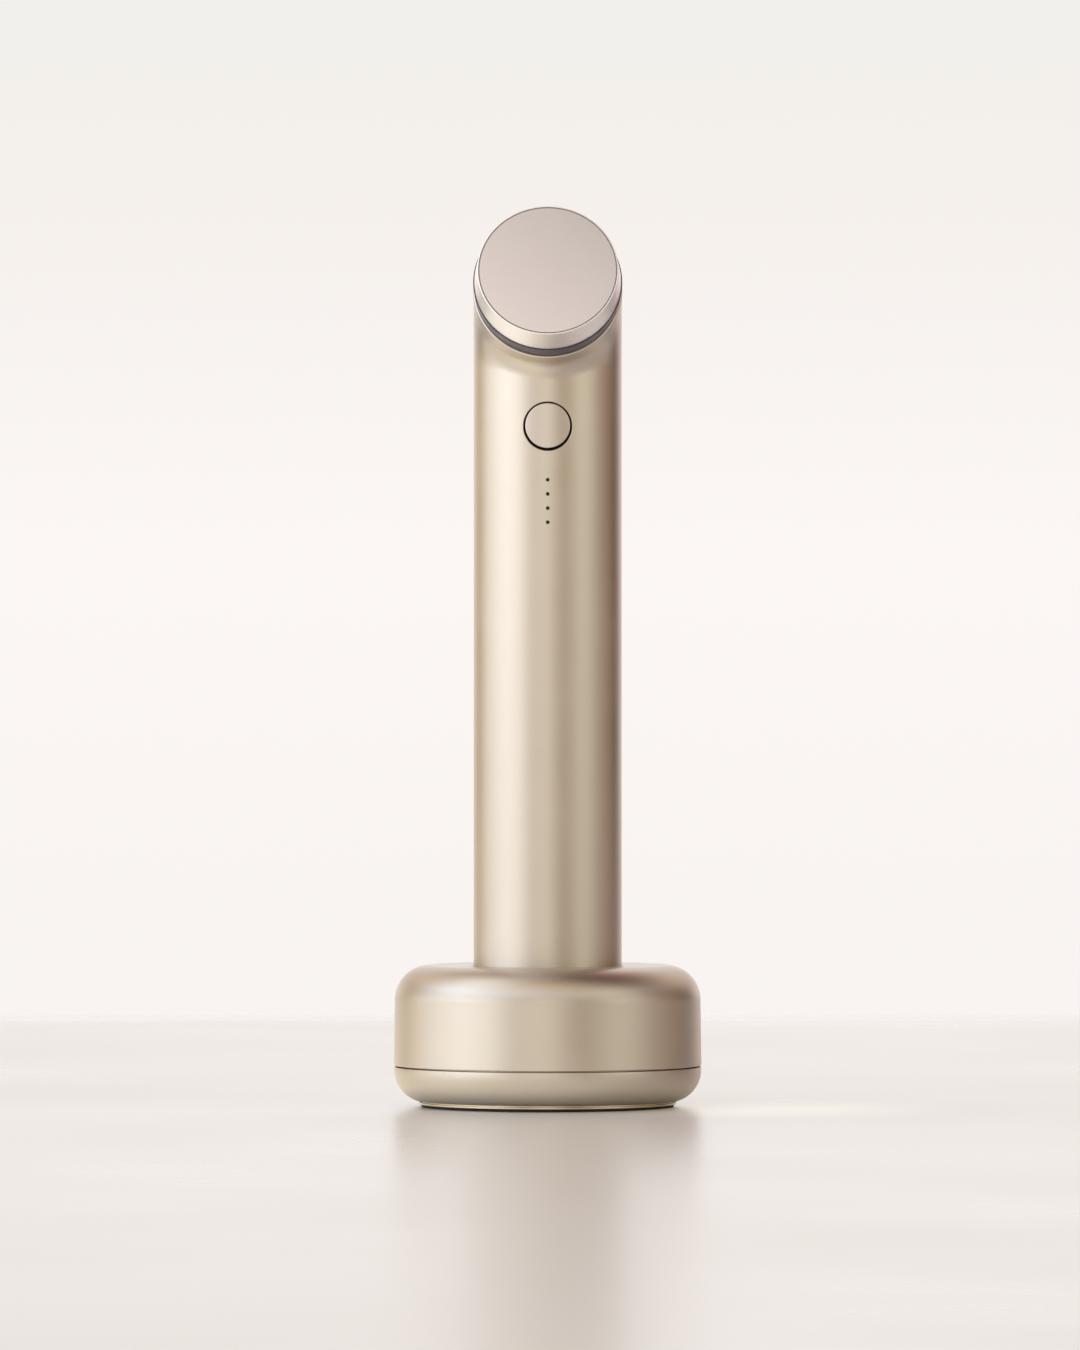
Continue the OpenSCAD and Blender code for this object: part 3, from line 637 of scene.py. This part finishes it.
def make_button():
    """Cap whose face follows the tube, with a small rounded edge, and its retaining flange. As in the photo, it sits a
    hair high in its hole."""
    mk = Maker()
    zc = BTN_Z + 0.14
    n = 128
    e = 0.22
    R = HR

    def surf(x, off=0.0):
        return -math.sqrt((R - off) ** 2 - x * x) if abs(x) < R - off else 0

    rings = []
    # Face, from the centre out
    radii = [0.0, 0.8, 1.6, 2.4, 3.2, 4.0, BTN_R - e]
    for r_ in radii:
        pts, ns = [], []
        for j in range(n):
            a = 2 * math.pi * j / n
            x, z = r_ * math.cos(a), r_ * math.sin(a)
            pts.append((x, surf(x), zc + z))
            th = math.asin(x / R)
            ns.append(cyl_n(th))
        rings.append((pts, ns))
    for k in range(1, 7):
        t = math.pi / 2 * k / 6
        pts, ns = [], []
        for j in range(n):
            a = 2 * math.pi * j / n
            r_ = BTN_R - e + e * math.sin(t)
            x, z = r_ * math.cos(a), r_ * math.sin(a)
            th = math.asin(x / R)
            pts.append((x, surf(x) + e * (1 - math.cos(t)), zc + z))
            ns.append(tuple((Vector(cyl_n(th)) * math.cos(t) + Vector((math.cos(a), 0, math.sin(a))) * math.sin(t)).normalized()))
        rings.append((pts, ns))
    for (p0, n0), (p1, n1) in zip(rings, rings[1:]):
        mk.grid([p0, p1], [n0, n1], 0, wrap=True)
    side = [(math.cos(2 * math.pi * j / n), 0, math.sin(2 * math.pi * j / n)) for j in range(n)]
    back = -12.8
    low = [(BTN_R * s[0], back, zc + BTN_R * s[2]) for s in side]
    # The cap's side and flange take the near-black painted shade, so the gap round the cap reads dark.
    mk.grid([rings[-1][0], low], [side, side], 1, wrap=True)
    fr = BTN_R + 1.1
    f0 = [(fr * s[0], back, zc + fr * s[2]) for s in side]
    f1 = [(fr * s[0], -12.1, zc + fr * s[2]) for s in side]
    mk.grid([low, f0], [[(0, -1, 0)] * n] * 2, 1, wrap=True)
    mk.grid([f0, f1], [side, side], 1, wrap=True)
    c = [(0, -12.1, zc)] * n
    mk.grid([f1, c], [[(0, 1, 0)] * n] * 2, 1, wrap=True)
    return mk.build("power_button_cap", [BUTTON, GAP_SHADE])


# ------------------------------------------------------------------ turned pieces
def make_head_cap():
    r0, r1 = HR - 0.24, HR - 0.93
    prof = [
        (0, S_FACE - 1.4, 0), (RI - 0.8, S_FACE - 1.4, 0), (RI - 0.8, S_RING + 1.2, 0), (RI - 3, S_RING + 1.2, 0),
        (RI - 3, S_LIP + 0.8, 0), (RI - 1.8, S_LIP + 0.8, 0), (RI - 1.8, S_RING, 0),
        (r0, S_RING, 0.06, 3), (r1 + 0.02, S_FACE, 0.14, 6), (r1 - 0.20, S_FACE, 0), (r1 - 0.25, S_FACE - 0.10, 0),
        (r1 - 0.40, S_FACE - 0.10, 0), (r1 - 0.46, S_FACE, 0), (0, S_FACE, 0),
    ]
    segs = rounded(prof, closed=False)
    mk = Maker()

    def which(r, z):
        if r < r1 - 0.45 and z > S_FACE - 0.01:
            return 0
        # The fine groove round the face takes the painted-shade material.
        return 2 if r1 - 0.47 < r < r1 - 0.19 and z > S_FACE - 0.11 else 1

    lathe(mk, segs, 224, HEAD, mats=which)
    return mk.build("treatment_cap", [FACE, BEVEL, GROOVE_SHADE])


def make_light_ring():
    rr = HR - 0.5
    segs = rounded([
        (RI - 1.6, S_RING - 0.05, 0.1, 3), (RI - 1.6, S_LIP - 0.5, 0), (RI - 0.2, S_LIP - 0.5, 0), (RI - 0.2, S_LIP + 0.05, 0),
        (rr, S_LIP + 0.05, 0.08, 4), (HR, S_RING - 0.05, 0.12, 6),
    ])
    mk = Maker()
    lathe(mk, segs, 224, HEAD)
    return mk.build("light_ring", [SMOKED])


def make_upper_shell():
    hole = HR + 0.25
    side = DR - 0.2
    ri = side - 1.85
    segs = rounded([
        (hole, DOCK_H - 1.8, 0), (ri, DOCK_H - 1.8, 5.7, 16), (ri, SEAM_HI, 0), (DR, SEAM_HI, 0.16, 5), (DR, 9.6, 0),
        (side, DOCK_H - SHOULDER, 0), (side, DOCK_H, SHOULDER, 36), (17.6, DOCK_H - 0.2, 0.0),
        (hole, DOCK_H - 0.24, 0.45, 8),
    ])
    mk = Maker()
    lathe(mk, segs, 288)
    return mk.build("dock_top_shell", [CHAMPAGNE])


def make_lower_shell():
    """Bowl turned in one piece; the socket opening and the screw holes are cut afterwards."""
    dr = DR - 0.05
    lip_ro, lip_ri = 31.05, 30.10
    bowl = [(math.cos(rad(a)) * 7 + dr - 7, math.sin(rad(a)) * 7 + 8) for a in np.linspace(-73.16, 0, 34)]
    segs = [[((0.0, 2.05), (0, -1)), ((20.85, 2.05), (0, -1))], [((20.85, 2.05), (-1, 0)), ((20.85, 1.3), (-1, 0))],
            [((20.85, 1.3), (0, -1)), ((bowl[0][0] - 0.05, 1.3), (0, -1))],
            [((bowl[0][0] - 0.05, 1.3), (0, -1)), (bowl[0], (math.cos(rad(-73.16)), math.sin(rad(-73.16))))]]
    segs.append([(p, (math.cos(rad(a)), math.sin(rad(a)))) for p, a in zip(bowl, np.linspace(-73.16, 0, 34))])
    segs += rounded([(dr, 8.0, 0), (dr, SEAM_LO, 0.16, 5), (lip_ro, SEAM_LO, 0)], closed=False)
    segs += rounded([(lip_ro, SEAM_LO, 0), (lip_ro, 11.0, 0), (lip_ri, 11.0, 0), (lip_ri, 8.0, 0)], closed=False)
    inner = [(25.2 + 4.9 * math.cos(rad(a)), 8 + 4.9 * math.sin(rad(a))) for a in np.linspace(0, -90, 16)]
    segs.append([(p, (-math.cos(rad(a)), -math.sin(rad(a)))) for p, a in zip(inner, np.linspace(0, -90, 16))])
    segs.append([((25.2, 3.1), (0, 1)), ((0.0, 3.1), (0, 1))])
    mk = Maker()
    lathe(mk, segs, 288)
    o = mk.build("dock_bowl", [CHAMPAGNE])

    def at(r, a):
        return (r * math.cos(rad(a)), r * math.sin(rad(a)))

    posts = rods("posts", [(*at(24, a), [(3.2, 2.5), (3.2, 9.95)]) for a in (45, 135, 225, 315)]
                 + [(*at(15, a), [(2.2, 2.6), (2.2, 3.9 if a % 120 == 30 else 3.7)]) for a in (30, 90, 150, 210, 270, 330)])
    bores = rods("bores", [(*at(24, a), [(2.4, 0), (2.4, 3.0), (1.35, 3.0), (1.35, 12)]) for a in (45, 135, 225, 315)]
                 + [(*at(15, a), [(0.85, 2.35), (0.85, 5.35)]) for a in (30, 150, 270)]
                 + [(*at(15, a), [(0.95, 1.0), (0.95, 3.5)]) for a in (90, 210, 330)])
    carve(o, [("UNION", posts), ("DIFFERENCE", bores), ("DIFFERENCE", slot_bar("port", 9.5, 3.8, 23, 40, 5.45))])
    turned_normals(o, [(dr - 7, 8, 7, 1), (25.2, 8, 4.9, -1), (dr - 0.16, SEAM_LO - 0.16, 0.16, 1)],
                   [(dr, 1), (lip_ro, 1), (lip_ri, -1), (20.85, -1)])
    return o


def rods(name, items, n=48):
    """Upright round bars in one mesh: (x, y, [(r, z), ...]) from the lowest level up."""
    mk_v, mk_f = [], []
    for x, y, steps in items:
        b = len(mk_v)
        for r, z in steps:
            mk_v += [((x + r * math.cos(2 * math.pi * i / n)) * MM, (y + r * math.sin(2 * math.pi * i / n)) * MM, z * MM)
                     for i in range(n)]
        mk_f.append([b + i for i in reversed(range(n))])
        mk_f.append([b + n * (len(steps) - 1) + i for i in range(n)])
        for k in range(len(steps) - 1):
            q = b + n * k
            mk_f += [[q + i, q + (i + 1) % n, q + (i + 1) % n + n, q + i + n] for i in range(n)]
    me = bpy.data.meshes.new(name)
    me.from_pydata(mk_v, [], mk_f)
    o = bpy.data.objects.new(name, me)
    bpy.context.scene.collection.objects.link(o)
    return o


def slot_bar(name, w, h, y0, y1, zc, k=24):
    """Bar along Y with a stadium section, for the socket's opening."""
    r, c = h / 2, (w - h) / 2
    pts = [(c + r * math.cos(a), r * math.sin(a)) for a in np.linspace(-math.pi / 2, math.pi / 2, k)]
    pts += [(-c + r * math.cos(a), r * math.sin(a)) for a in np.linspace(math.pi / 2, 3 * math.pi / 2, k)]
    n = len(pts)
    vs = [(x * MM, y * MM, (z + zc) * MM) for y in (y0, y1) for x, z in pts]
    fs = [list(range(n)), list(range(2 * n - 1, n - 1, -1))]
    fs += [[i, i + n, (i + 1) % n + n, (i + 1) % n] for i in range(n)]
    me = bpy.data.meshes.new(name)
    me.from_pydata(vs, [], fs)
    o = bpy.data.objects.new(name, me)
    bpy.context.scene.collection.objects.link(o)
    return o


def carve(o, steps):
    """Exact booleans, applied in order: ("UNION" or "DIFFERENCE", tool)."""
    for op, t in steps:
        md = o.modifiers.new(op, "BOOLEAN")
        md.operation, md.solver, md.object = op, "EXACT", t
    dg = bpy.context.evaluated_depsgraph_get()
    me = bpy.data.meshes.new_from_object(o.evaluated_get(dg), depsgraph=dg)
    me.name = o.name
    mats = [m for m in o.data.materials if m]
    o.modifiers.clear()
    o.data = me
    me.materials.clear()
    for m in mats[:1]:
        me.materials.append(m)
    me.polygons.foreach_set("material_index", [0] * len(me.polygons))
    for _, t in steps:
        bpy.data.objects.remove(t)
    return o


def turned_normals(o, rounds, walls):
    """Corner normals of a carved, turned piece. rounds: (centre r, centre z, radius, sign) of each round part of the
    section; walls: (radius, sign) of each upright wall. Every other face is flat."""
    me = o.data
    out = []
    for p in me.polygons:
        rz = []
        for vi in p.vertices:
            v = me.vertices[vi].co / MM
            rz.append((math.hypot(v.x, v.y), v.z, v))
        fn = Vector(p.normal)
        c = p.center / MM
        rd = Vector((c.x, c.y, 0))
        rd = rd.normalized() if rd.length > 1e-6 else Vector((1, 0, 0))
        rule = None
        for cr, cz, rr, sg in rounds:
            if all(abs(math.hypot(r - cr, z - cz) - rr) < 0.02 for r, z, _ in rz):
                mid = Vector((math.hypot(c.x, c.y) - cr, c.z - cz)).normalized() * sg
                if mid.x * fn.dot(rd) + mid.y * fn.z > 0.9:
                    rule = (cr, cz, sg)
                    break
        if rule is None:
            for wr, sg in walls:
                if all(abs(r - wr) < 0.02 for r, z, _ in rz) and fn.dot(rd) * sg > 0.9:
                    rule = ("wall", wr, sg)
        for r, z, v in rz:
            if rule is None:
                out.append(tuple(fn))
                continue
            d = Vector((v.x, v.y, 0)).normalized()
            if rule[0] == "wall":
                out.append(tuple(d * rule[2]))
            else:
                cr, cz, sg = rule
                q = Vector((r - cr, z - cz)).normalized() * sg
                out.append(tuple((d * q.x + Vector((0, 0, q.y))).normalized()))
    me.polygons.foreach_set("use_smooth", [True] * len(me.polygons))
    me.normals_split_custom_set(out)


def make_base_plate():
    segs = rounded([
        (0, 1.3, 0), (20, 1.3, 0.1, 3), (20, 0.55, 0.1, 3), (27.8, 0.55, 0.14, 5), (27.8, 1.04, 0.10, 4), (27.35, 1.04, 0),
        (27.35, 1.28, 0), (20.75, 1.28, 0),
        (20.75, 2.0, 0), (0, 2.0, 0)], closed=False)
    mk = Maker()
    lathe(mk, segs, 256)
    o = mk.build("foot_plate", [GOLD])
    holes = rods("holes", [(15 * math.cos(rad(a)), 15 * math.sin(rad(a)), [(1.0, 0), (1.0, 4)]) for a in (90, 210, 330)])
    carve(o, [("DIFFERENCE", holes)])
    turned_normals(o, [(27.66, 0.69, 0.14, 1), (27.70, 0.94, 0.10, 1), (20.1, 0.65, 0.1, 1)],
                   [(27.8, 1), (27.35, 1), (20, -1), (20.75, 1)])
    return o


def make_foot():
    segs = rounded([(21.3, 0.55, 0), (21.3, 0, 0.15, 4), (27.3, 0, 0.18, 5), (27.3, 0.55, 0)])
    mk = Maker()
    lathe(mk, segs, 256)
    return mk.build("foot_ring", [RUBBER])


def place(o, body, slot, *nodes):
    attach(o, body)
    if nodes:
        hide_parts(*nodes)
    return o


handle = place(make_handle(), "wand", "champagne_metal", "handle_tube")
button = place(make_button(), "button", "button_metal", "power_button")
cap = place(make_head_cap(), "wand", "head_metal", "treatment_head_cap")
ring = place(make_light_ring(), "wand", "smoked_ring", "head_light_ring")
top_shell = place(make_upper_shell(), "dock", "champagne_metal", "dock_upper_shell")
bowl = place(make_lower_shell(), "dock", "champagne_metal", "dock_lower_shell")
plate = place(make_base_plate(), "dock", "gold_plate", "base_plate")
foot = place(make_foot(), "dock", "foot_rubber", "rubber_foot")

# ------------------------------------------------------------------ the CAD pieces that stay
NODE_MATS = {
    "transducer_disc": CERAMIC, "transducer_damping_ring": SILICONE, "head_carrier": PLASTIC, "head_seal": SEAL,
    "light_ring_board": BOARD, "light_ring_leds": LED, "head_harness": REDWIRE, "chassis": PLASTIC, "main_board": BOARD,
    "board_chips": CHIP, "drive_transformer": FERRITE, "board_screws": STEEL, "battery_cell": CELLWRAP,
    "battery_tabs": NICKEL, "button_membrane": SILICONE, "button_bracket": PLASTIC, "switch_body": CHIP,
    "switch_plunger": CHIP, "indicator_light_pipes": PIPE, "indicator_leds": LED, "end_cap": PLASTIC,
    "end_cap_seal": SEAL, "end_cap_screws": STEEL, "charge_contacts": CONTACT, "charge_leads": BLACKWIRE,
    "dock_well_cup": PLASTIC, "seat_pad": SILICONE, "ballast_weight": BALLAST, "dock_board": BOARD,
    "dock_board_chips": CHIP, "dock_board_screws": STEEL, "pogo_block": PLASTIC, "pogo_barrels": CONTACT,
    "pogo_plungers": CONTACT, "pogo_springs": NICKEL, "usb_c_shell": NICKEL, "usb_c_tongue": CHIP,
    "dock_screws": STEEL, "base_plate_screws": STEEL,
}
for name, mat in NODE_MATS.items():
    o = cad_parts[name]
    o.data.materials.clear()
    o.data.materials.append(mat)

# ------------------------------------------------------------------ stage
CAM_Z, DIST, PX = 93.3, 2050.0, 9480.0


def make_table():
    """Pale table; its far edge is faded out by the material, like a table out of focus."""
    mk = Maker()
    x = 2600.0
    y0, y1, t, r = -2600.0, 640.0, 30.0, 6.0
    prof = [((y0, 0.0), (0, 1)), ((y1 - r, 0.0), (0, 1))]
    arc_ = [((y1 - r + r * math.sin(a), -r + r * math.cos(a)), (math.sin(a), math.cos(a))) for a in np.linspace(0, math.pi / 2, 10)]
    tail = [((y1, -r), (1, 0)), ((y1, -t), (1, 0))]
    for seg in (prof, arc_, tail):
        pts = [[(sx * x, y, z) for sx in (-1, 1)] for (y, z), _ in seg]
        ns = [[(0, ny, nz)] * 2 for _, (ny, nz) in seg]
        mk.grid(pts, ns)
    return mk


tm = Mat("table_top").set(Metallic=0.0)
cl = tm.noise(1.2, 2.0, 0.5)
tm.color(tm.mix(tm.span(cl, 0, 1), (0.685, 0.675, 0.665), (0.715, 0.705, 0.695)))
tm.rough(tm.span(tm.noise(8.0, 2.0, 0.5), 0.27, 0.30))
sy = tm.n.new("ShaderNodeSeparateXYZ")
tm.l.new(tm.tc.outputs["Object"], sy.inputs[0])
edge = tm.n.new("ShaderNodeMapRange")
edge.interpolation_type = "SMOOTHSTEP"
for k_, v_ in (("From Min", 0.43), ("From Max", 0.60), ("To Min", 1.0), ("To Max", 0.0)):
    edge.inputs[k_].default_value = v_
tm.l.new(sy.outputs["Y"], edge.inputs["Value"])
tm.l.new(edge.outputs["Result"], tm.b.inputs["Alpha"])
# Painted fill light: the table glows, most on its left, in place of the main soft box's light bounced off it; the
# undersides get it back. It isn't seen directly.
near = tm.n.new("ShaderNodeMapRange")
near.interpolation_type = "SMOOTHSTEP"
for k_, v_ in (("From Min", -0.05), ("From Max", 0.075), ("To Min", 0.48), ("To Max", 0.0)):
    near.inputs[k_].default_value = v_
tm.l.new(sy.outputs["X"], near.inputs["Value"])
away = tm.n.new("ShaderNodeVectorMath")
away.operation = "LENGTH"
tm.l.new(tm.tc.outputs["Object"], away.inputs[0])
ends = tm.n.new("ShaderNodeMapRange")
ends.interpolation_type = "SMOOTHSTEP"
for k_, v_ in (("From Min", 0.12), ("From Max", 0.30), ("To Min", 1.0), ("To Max", 0.70)):
    ends.inputs[k_].default_value = v_
tm.l.new(away.outputs["Value"], ends.inputs["Value"])
rays = tm.n.new("ShaderNodeLightPath")
hide = tm.n.new("ShaderNodeMath")
hide.operation = "SUBTRACT"
hide.inputs[0].default_value = 1.0
tm.l.new(rays.outputs["Is Camera Ray"], hide.inputs[1])
fill = tm.n.new("ShaderNodeMath")
fill.operation = "MULTIPLY"
tm.l.new(near.outputs["Result"], fill.inputs[0])
both = tm.n.new("ShaderNodeMath")
both.operation = "MULTIPLY"
tm.l.new(fill.outputs[0], both.inputs[0])
tm.l.new(ends.outputs["Result"], both.inputs[1])
# Painted shade in that glow: less of it close to the dock, which lies in the dock's shade.
shade = tm.n.new("ShaderNodeMapRange")
shade.interpolation_type = "SMOOTHSTEP"
for k_, v_ in (("From Min", 0.029), ("From Max", 0.038), ("To Min", 0.10), ("To Max", 1.0)):
    shade.inputs[k_].default_value = v_
tm.l.new(away.outputs["Value"], shade.inputs["Value"])
clear = tm.n.new("ShaderNodeMath")
clear.operation = "MULTIPLY"
tm.l.new(both.outputs[0], clear.inputs[0])
tm.l.new(shade.outputs["Result"], clear.inputs[1])
tm.l.new(hide.outputs[0], fill.inputs[1])
tm.set(Emission_Color=(1.0, 0.955, 0.74, 1.0))
# Painted pool of light on the table beside the dock, in place of the light that the polished right flank throws there;
# only the camera sees that.
spot = tm.n.new("ShaderNodeVectorMath")
spot.operation = "DISTANCE"
tm.l.new(tm.tc.outputs["Object"], spot.inputs[0])
spot.inputs[1].default_value = (0.040, -0.012, 0.0)
painted_light_pool = tm.n.new("ShaderNodeMapRange")
painted_light_pool.interpolation_type = "SMOOTHSTEP"
for k_, v_ in (("From Min", 0.0), ("From Max", 0.055), ("To Min", 0.14), ("To Max", 0.0)):
    painted_light_pool.inputs[k_].default_value = v_
tm.l.new(spot.outputs["Value"], painted_light_pool.inputs["Value"])
seen = tm.n.new("ShaderNodeMath")
seen.operation = "MULTIPLY_ADD"
tm.l.new(painted_light_pool.outputs["Result"], seen.inputs[0])
tm.l.new(rays.outputs["Is Camera Ray"], seen.inputs[1])
tm.l.new(clear.outputs[0], seen.inputs[2])
tm.l.new(seen.outputs[0], tm.b.inputs["Emission Strength"])
table = make_table().build("table", [tm.m])

# ------------------------------------------------------------------ world: soft studio light all round
world = bpy.data.worlds.new("studio")
bpy.context.scene.world = world
world.use_nodes = True
wn, wl = world.node_tree.nodes, world.node_tree.links
wn.clear()
coord = wn.new("ShaderNodeTexCoord")


def direction(az, el):
    """Azimuth from the viewer's side (-Y), positive to the right; elevation above the horizon."""
    a, e = rad(az), rad(el)
    return (math.sin(a) * math.cos(e), -math.cos(a) * math.cos(e), math.sin(e))


def wmath(op, a, b=None):
    m = wn.new("ShaderNodeMath")
    m.operation = op
    for i, v in enumerate((a, b)):
        if v is None:
            continue
        if isinstance(v, (int, float)):
            m.inputs[i].default_value = v
        else:
            wl.new(v, m.inputs[i])
    return m.outputs[0]


def panel(az, wa, el, we, color):
    """Soft box in the sky: middle and width in azimuth and in elevation, degrees; both fall off smoothly."""
    s = wn.new("ShaderNodeVectorMath")
    s.operation = "DOT_PRODUCT"
    wl.new(level.outputs[0], s.inputs[0])
    s.inputs[1].default_value = direction(az, 0)
    side = wmath("MULTIPLY", wmath("SUBTRACT", s.outputs["Value"], 1.0), 1.0 / (1.0 - math.cos(rad(wa))))
    w = math.sin(rad(el + we / 2)) - math.sin(rad(el - we / 2))
    up = wmath("MULTIPLY", wmath("SUBTRACT", sky.outputs["Z"], math.sin(rad(el))), 1.0 / w)
    e = wmath("EXPONENT", wmath("SUBTRACT", side, wmath("MULTIPLY", up, up)))
    c = wn.new("ShaderNodeVectorMath")
    c.operation = "SCALE"
    c.inputs[0].default_value = color
    wl.new(e, c.inputs["Scale"])
    return c.outputs[0]


flat = wn.new("ShaderNodeVectorMath")
flat.operation = "MULTIPLY"
wl.new(coord.outputs["Generated"], flat.inputs[0])
flat.inputs[1].default_value = (1, 1, 0)
level = wn.new("ShaderNodeVectorMath")
level.operation = "NORMALIZE"
wl.new(flat.outputs[0], level.inputs[0])
sky = wn.new("ShaderNodeSeparateXYZ")
wl.new(coord.outputs["Generated"], sky.inputs[0])


def total(items):
    acc = items[0]
    for it in items[1:]:
        a = wn.new("ShaderNodeVectorMath")
        a.operation = "ADD"
        wl.new(acc, a.inputs[0])
        wl.new(it, a.inputs[1])
        acc = a.outputs[0]
    return acc


# Soft boxes and cards round the set: azimuth and its width, elevation and its width, strength in red, green and blue.
# The first rows stand at table height, the next lean over the set, the last hang high.
SOFT_BOXES = [
    (-180, 15, 4, 12, (1.34, 1.34, 1.33)),
    (-155, 15, 4, 12, (1.15, 1.05, 1.02)),
    (-130, 15, 4, 12, (0.45, 0.35, 0.07)),
    (-110, 15, 4, 12, (1.08, 0.97, 1.00)),
    (-90, 15, 4, 12, (1.36, 1.32, 1.19)),
    (-68, 15, 4, 12, (1.85, 1.93, 2.01)),
    (-45, 15, 4, 12, (1.80, 1.78, 1.71)),
    (-22, 15, 4, 12, (0.52, 0.39, 0.32)),
    (0, 15, 4, 12, (1.41, 1.37, 1.18)),
    (22, 15, 4, 12, (0.24, 0.09, 0.00)),
    (42, 15, 4, 12, (0.68, 0.64, 0.48)),
    (60, 15, 4, 12, (1.05, 1.00, 0.88)),
    (80, 15, 4, 12, (0.56, 0.48, 0.36)),
    (105, 15, 4, 12, (0.42, 0.24, 0.13)),
    (155, 15, 4, 12, (1.20, 0.98, 0.95)),
    (-180, 27, 32, 17, (1.15, 1.15, 1.15)),
    (-135, 27, 32, 17, (0.83, 0.59, 0.36)),
    (-90, 27, 32, 17, (1.39, 1.56, 1.81)),
    (-60, 27, 32, 17, (1.15, 1.19, 1.27)),
    (-25, 27, 32, 17, (0.88, 0.84, 0.89)),
    (10, 27, 32, 17, (0.73, 0.71, 0.61)),
    (55, 27, 32, 17, (1.11, 1.02, 0.86)),
    (100, 27, 32, 17, (0.27, 0.20, 0.21)),
    (140, 27, 32, 17, (0.78, 0.59, 0.44)),
    (-90, 50, 60, 18, (1.27, 1.27, 1.13)),
    (0, 50, 60, 18, (0.75, 0.49, 0.31)),
    (180, 50, 60, 18, (0.25, 0.00, 0.00)),
]
env = total([panel(*b) for b in SOFT_BOXES])

# What the camera sees behind the table: a pale backdrop that darkens a little towards the top
sepc = wn.new("ShaderNodeSeparateXYZ")
wl.new(coord.outputs["Generated"], sepc.inputs[0])
ramp = wn.new("ShaderNodeValToRGB")
mr = wn.new("ShaderNodeMapRange")
mr.inputs["From Min"].default_value = -0.04
mr.inputs["From Max"].default_value = 0.075
wl.new(sepc.outputs["Z"], mr.inputs["Value"])
wl.new(mr.outputs["Result"], ramp.inputs["Fac"])


def lin(c):
    return tuple(((v / 255) / 12.92 if v <= 10 else ((v / 255 + 0.055) / 1.055) ** 2.4) for v in c) + (1,)


stops = [(0.0, (249, 244, 241)), (0.14, (249, 244, 241)), (0.46, (252, 247, 244)), (0.60, (249, 244, 241)),
         (0.78, (245, 240, 236)), (1.0, (241, 240, 236))]
el = ramp.color_ramp.elements
el[0].position, el[0].color = stops[0][0], lin(stops[0][1])
el[1].position, el[1].color = stops[-1][0], lin(stops[-1][1])
for p, c in stops[1:-1]:
    e = el.new(p)
    e.color = lin(c)

bg_env = wn.new("ShaderNodeBackground")
wl.new(env, bg_env.inputs["Color"])
bg_cam = wn.new("ShaderNodeBackground")
wl.new(ramp.outputs["Color"], bg_cam.inputs["Color"])
path = wn.new("ShaderNodeLightPath")
mixw = wn.new("ShaderNodeMixShader")
wl.new(path.outputs["Is Camera Ray"], mixw.inputs["Fac"])
wl.new(bg_env.outputs[0], mixw.inputs[1])
wl.new(bg_cam.outputs[0], mixw.inputs[2])
wout = wn.new("ShaderNodeOutputWorld")
wl.new(mixw.outputs[0], wout.inputs["Surface"])

# ------------------------------------------------------------------ camera
cam = bpy.data.cameras.new("camera")
cam.sensor_width = 36.0
cam.sensor_fit = "AUTO"
cam.lens = 36.0 * PX / 1350.0
cam.clip_start, cam.clip_end = 0.05, 50.0
co = bpy.data.objects.new("camera", cam)
bpy.context.scene.collection.objects.link(co)
co.location = (-1.66 * MM, -DIST * MM, CAM_Z * MM)
co.rotation_euler = (rad(90), 0, 0)
bpy.context.scene.camera = co
bpy.context.scene.view_settings.view_transform = "Standard"
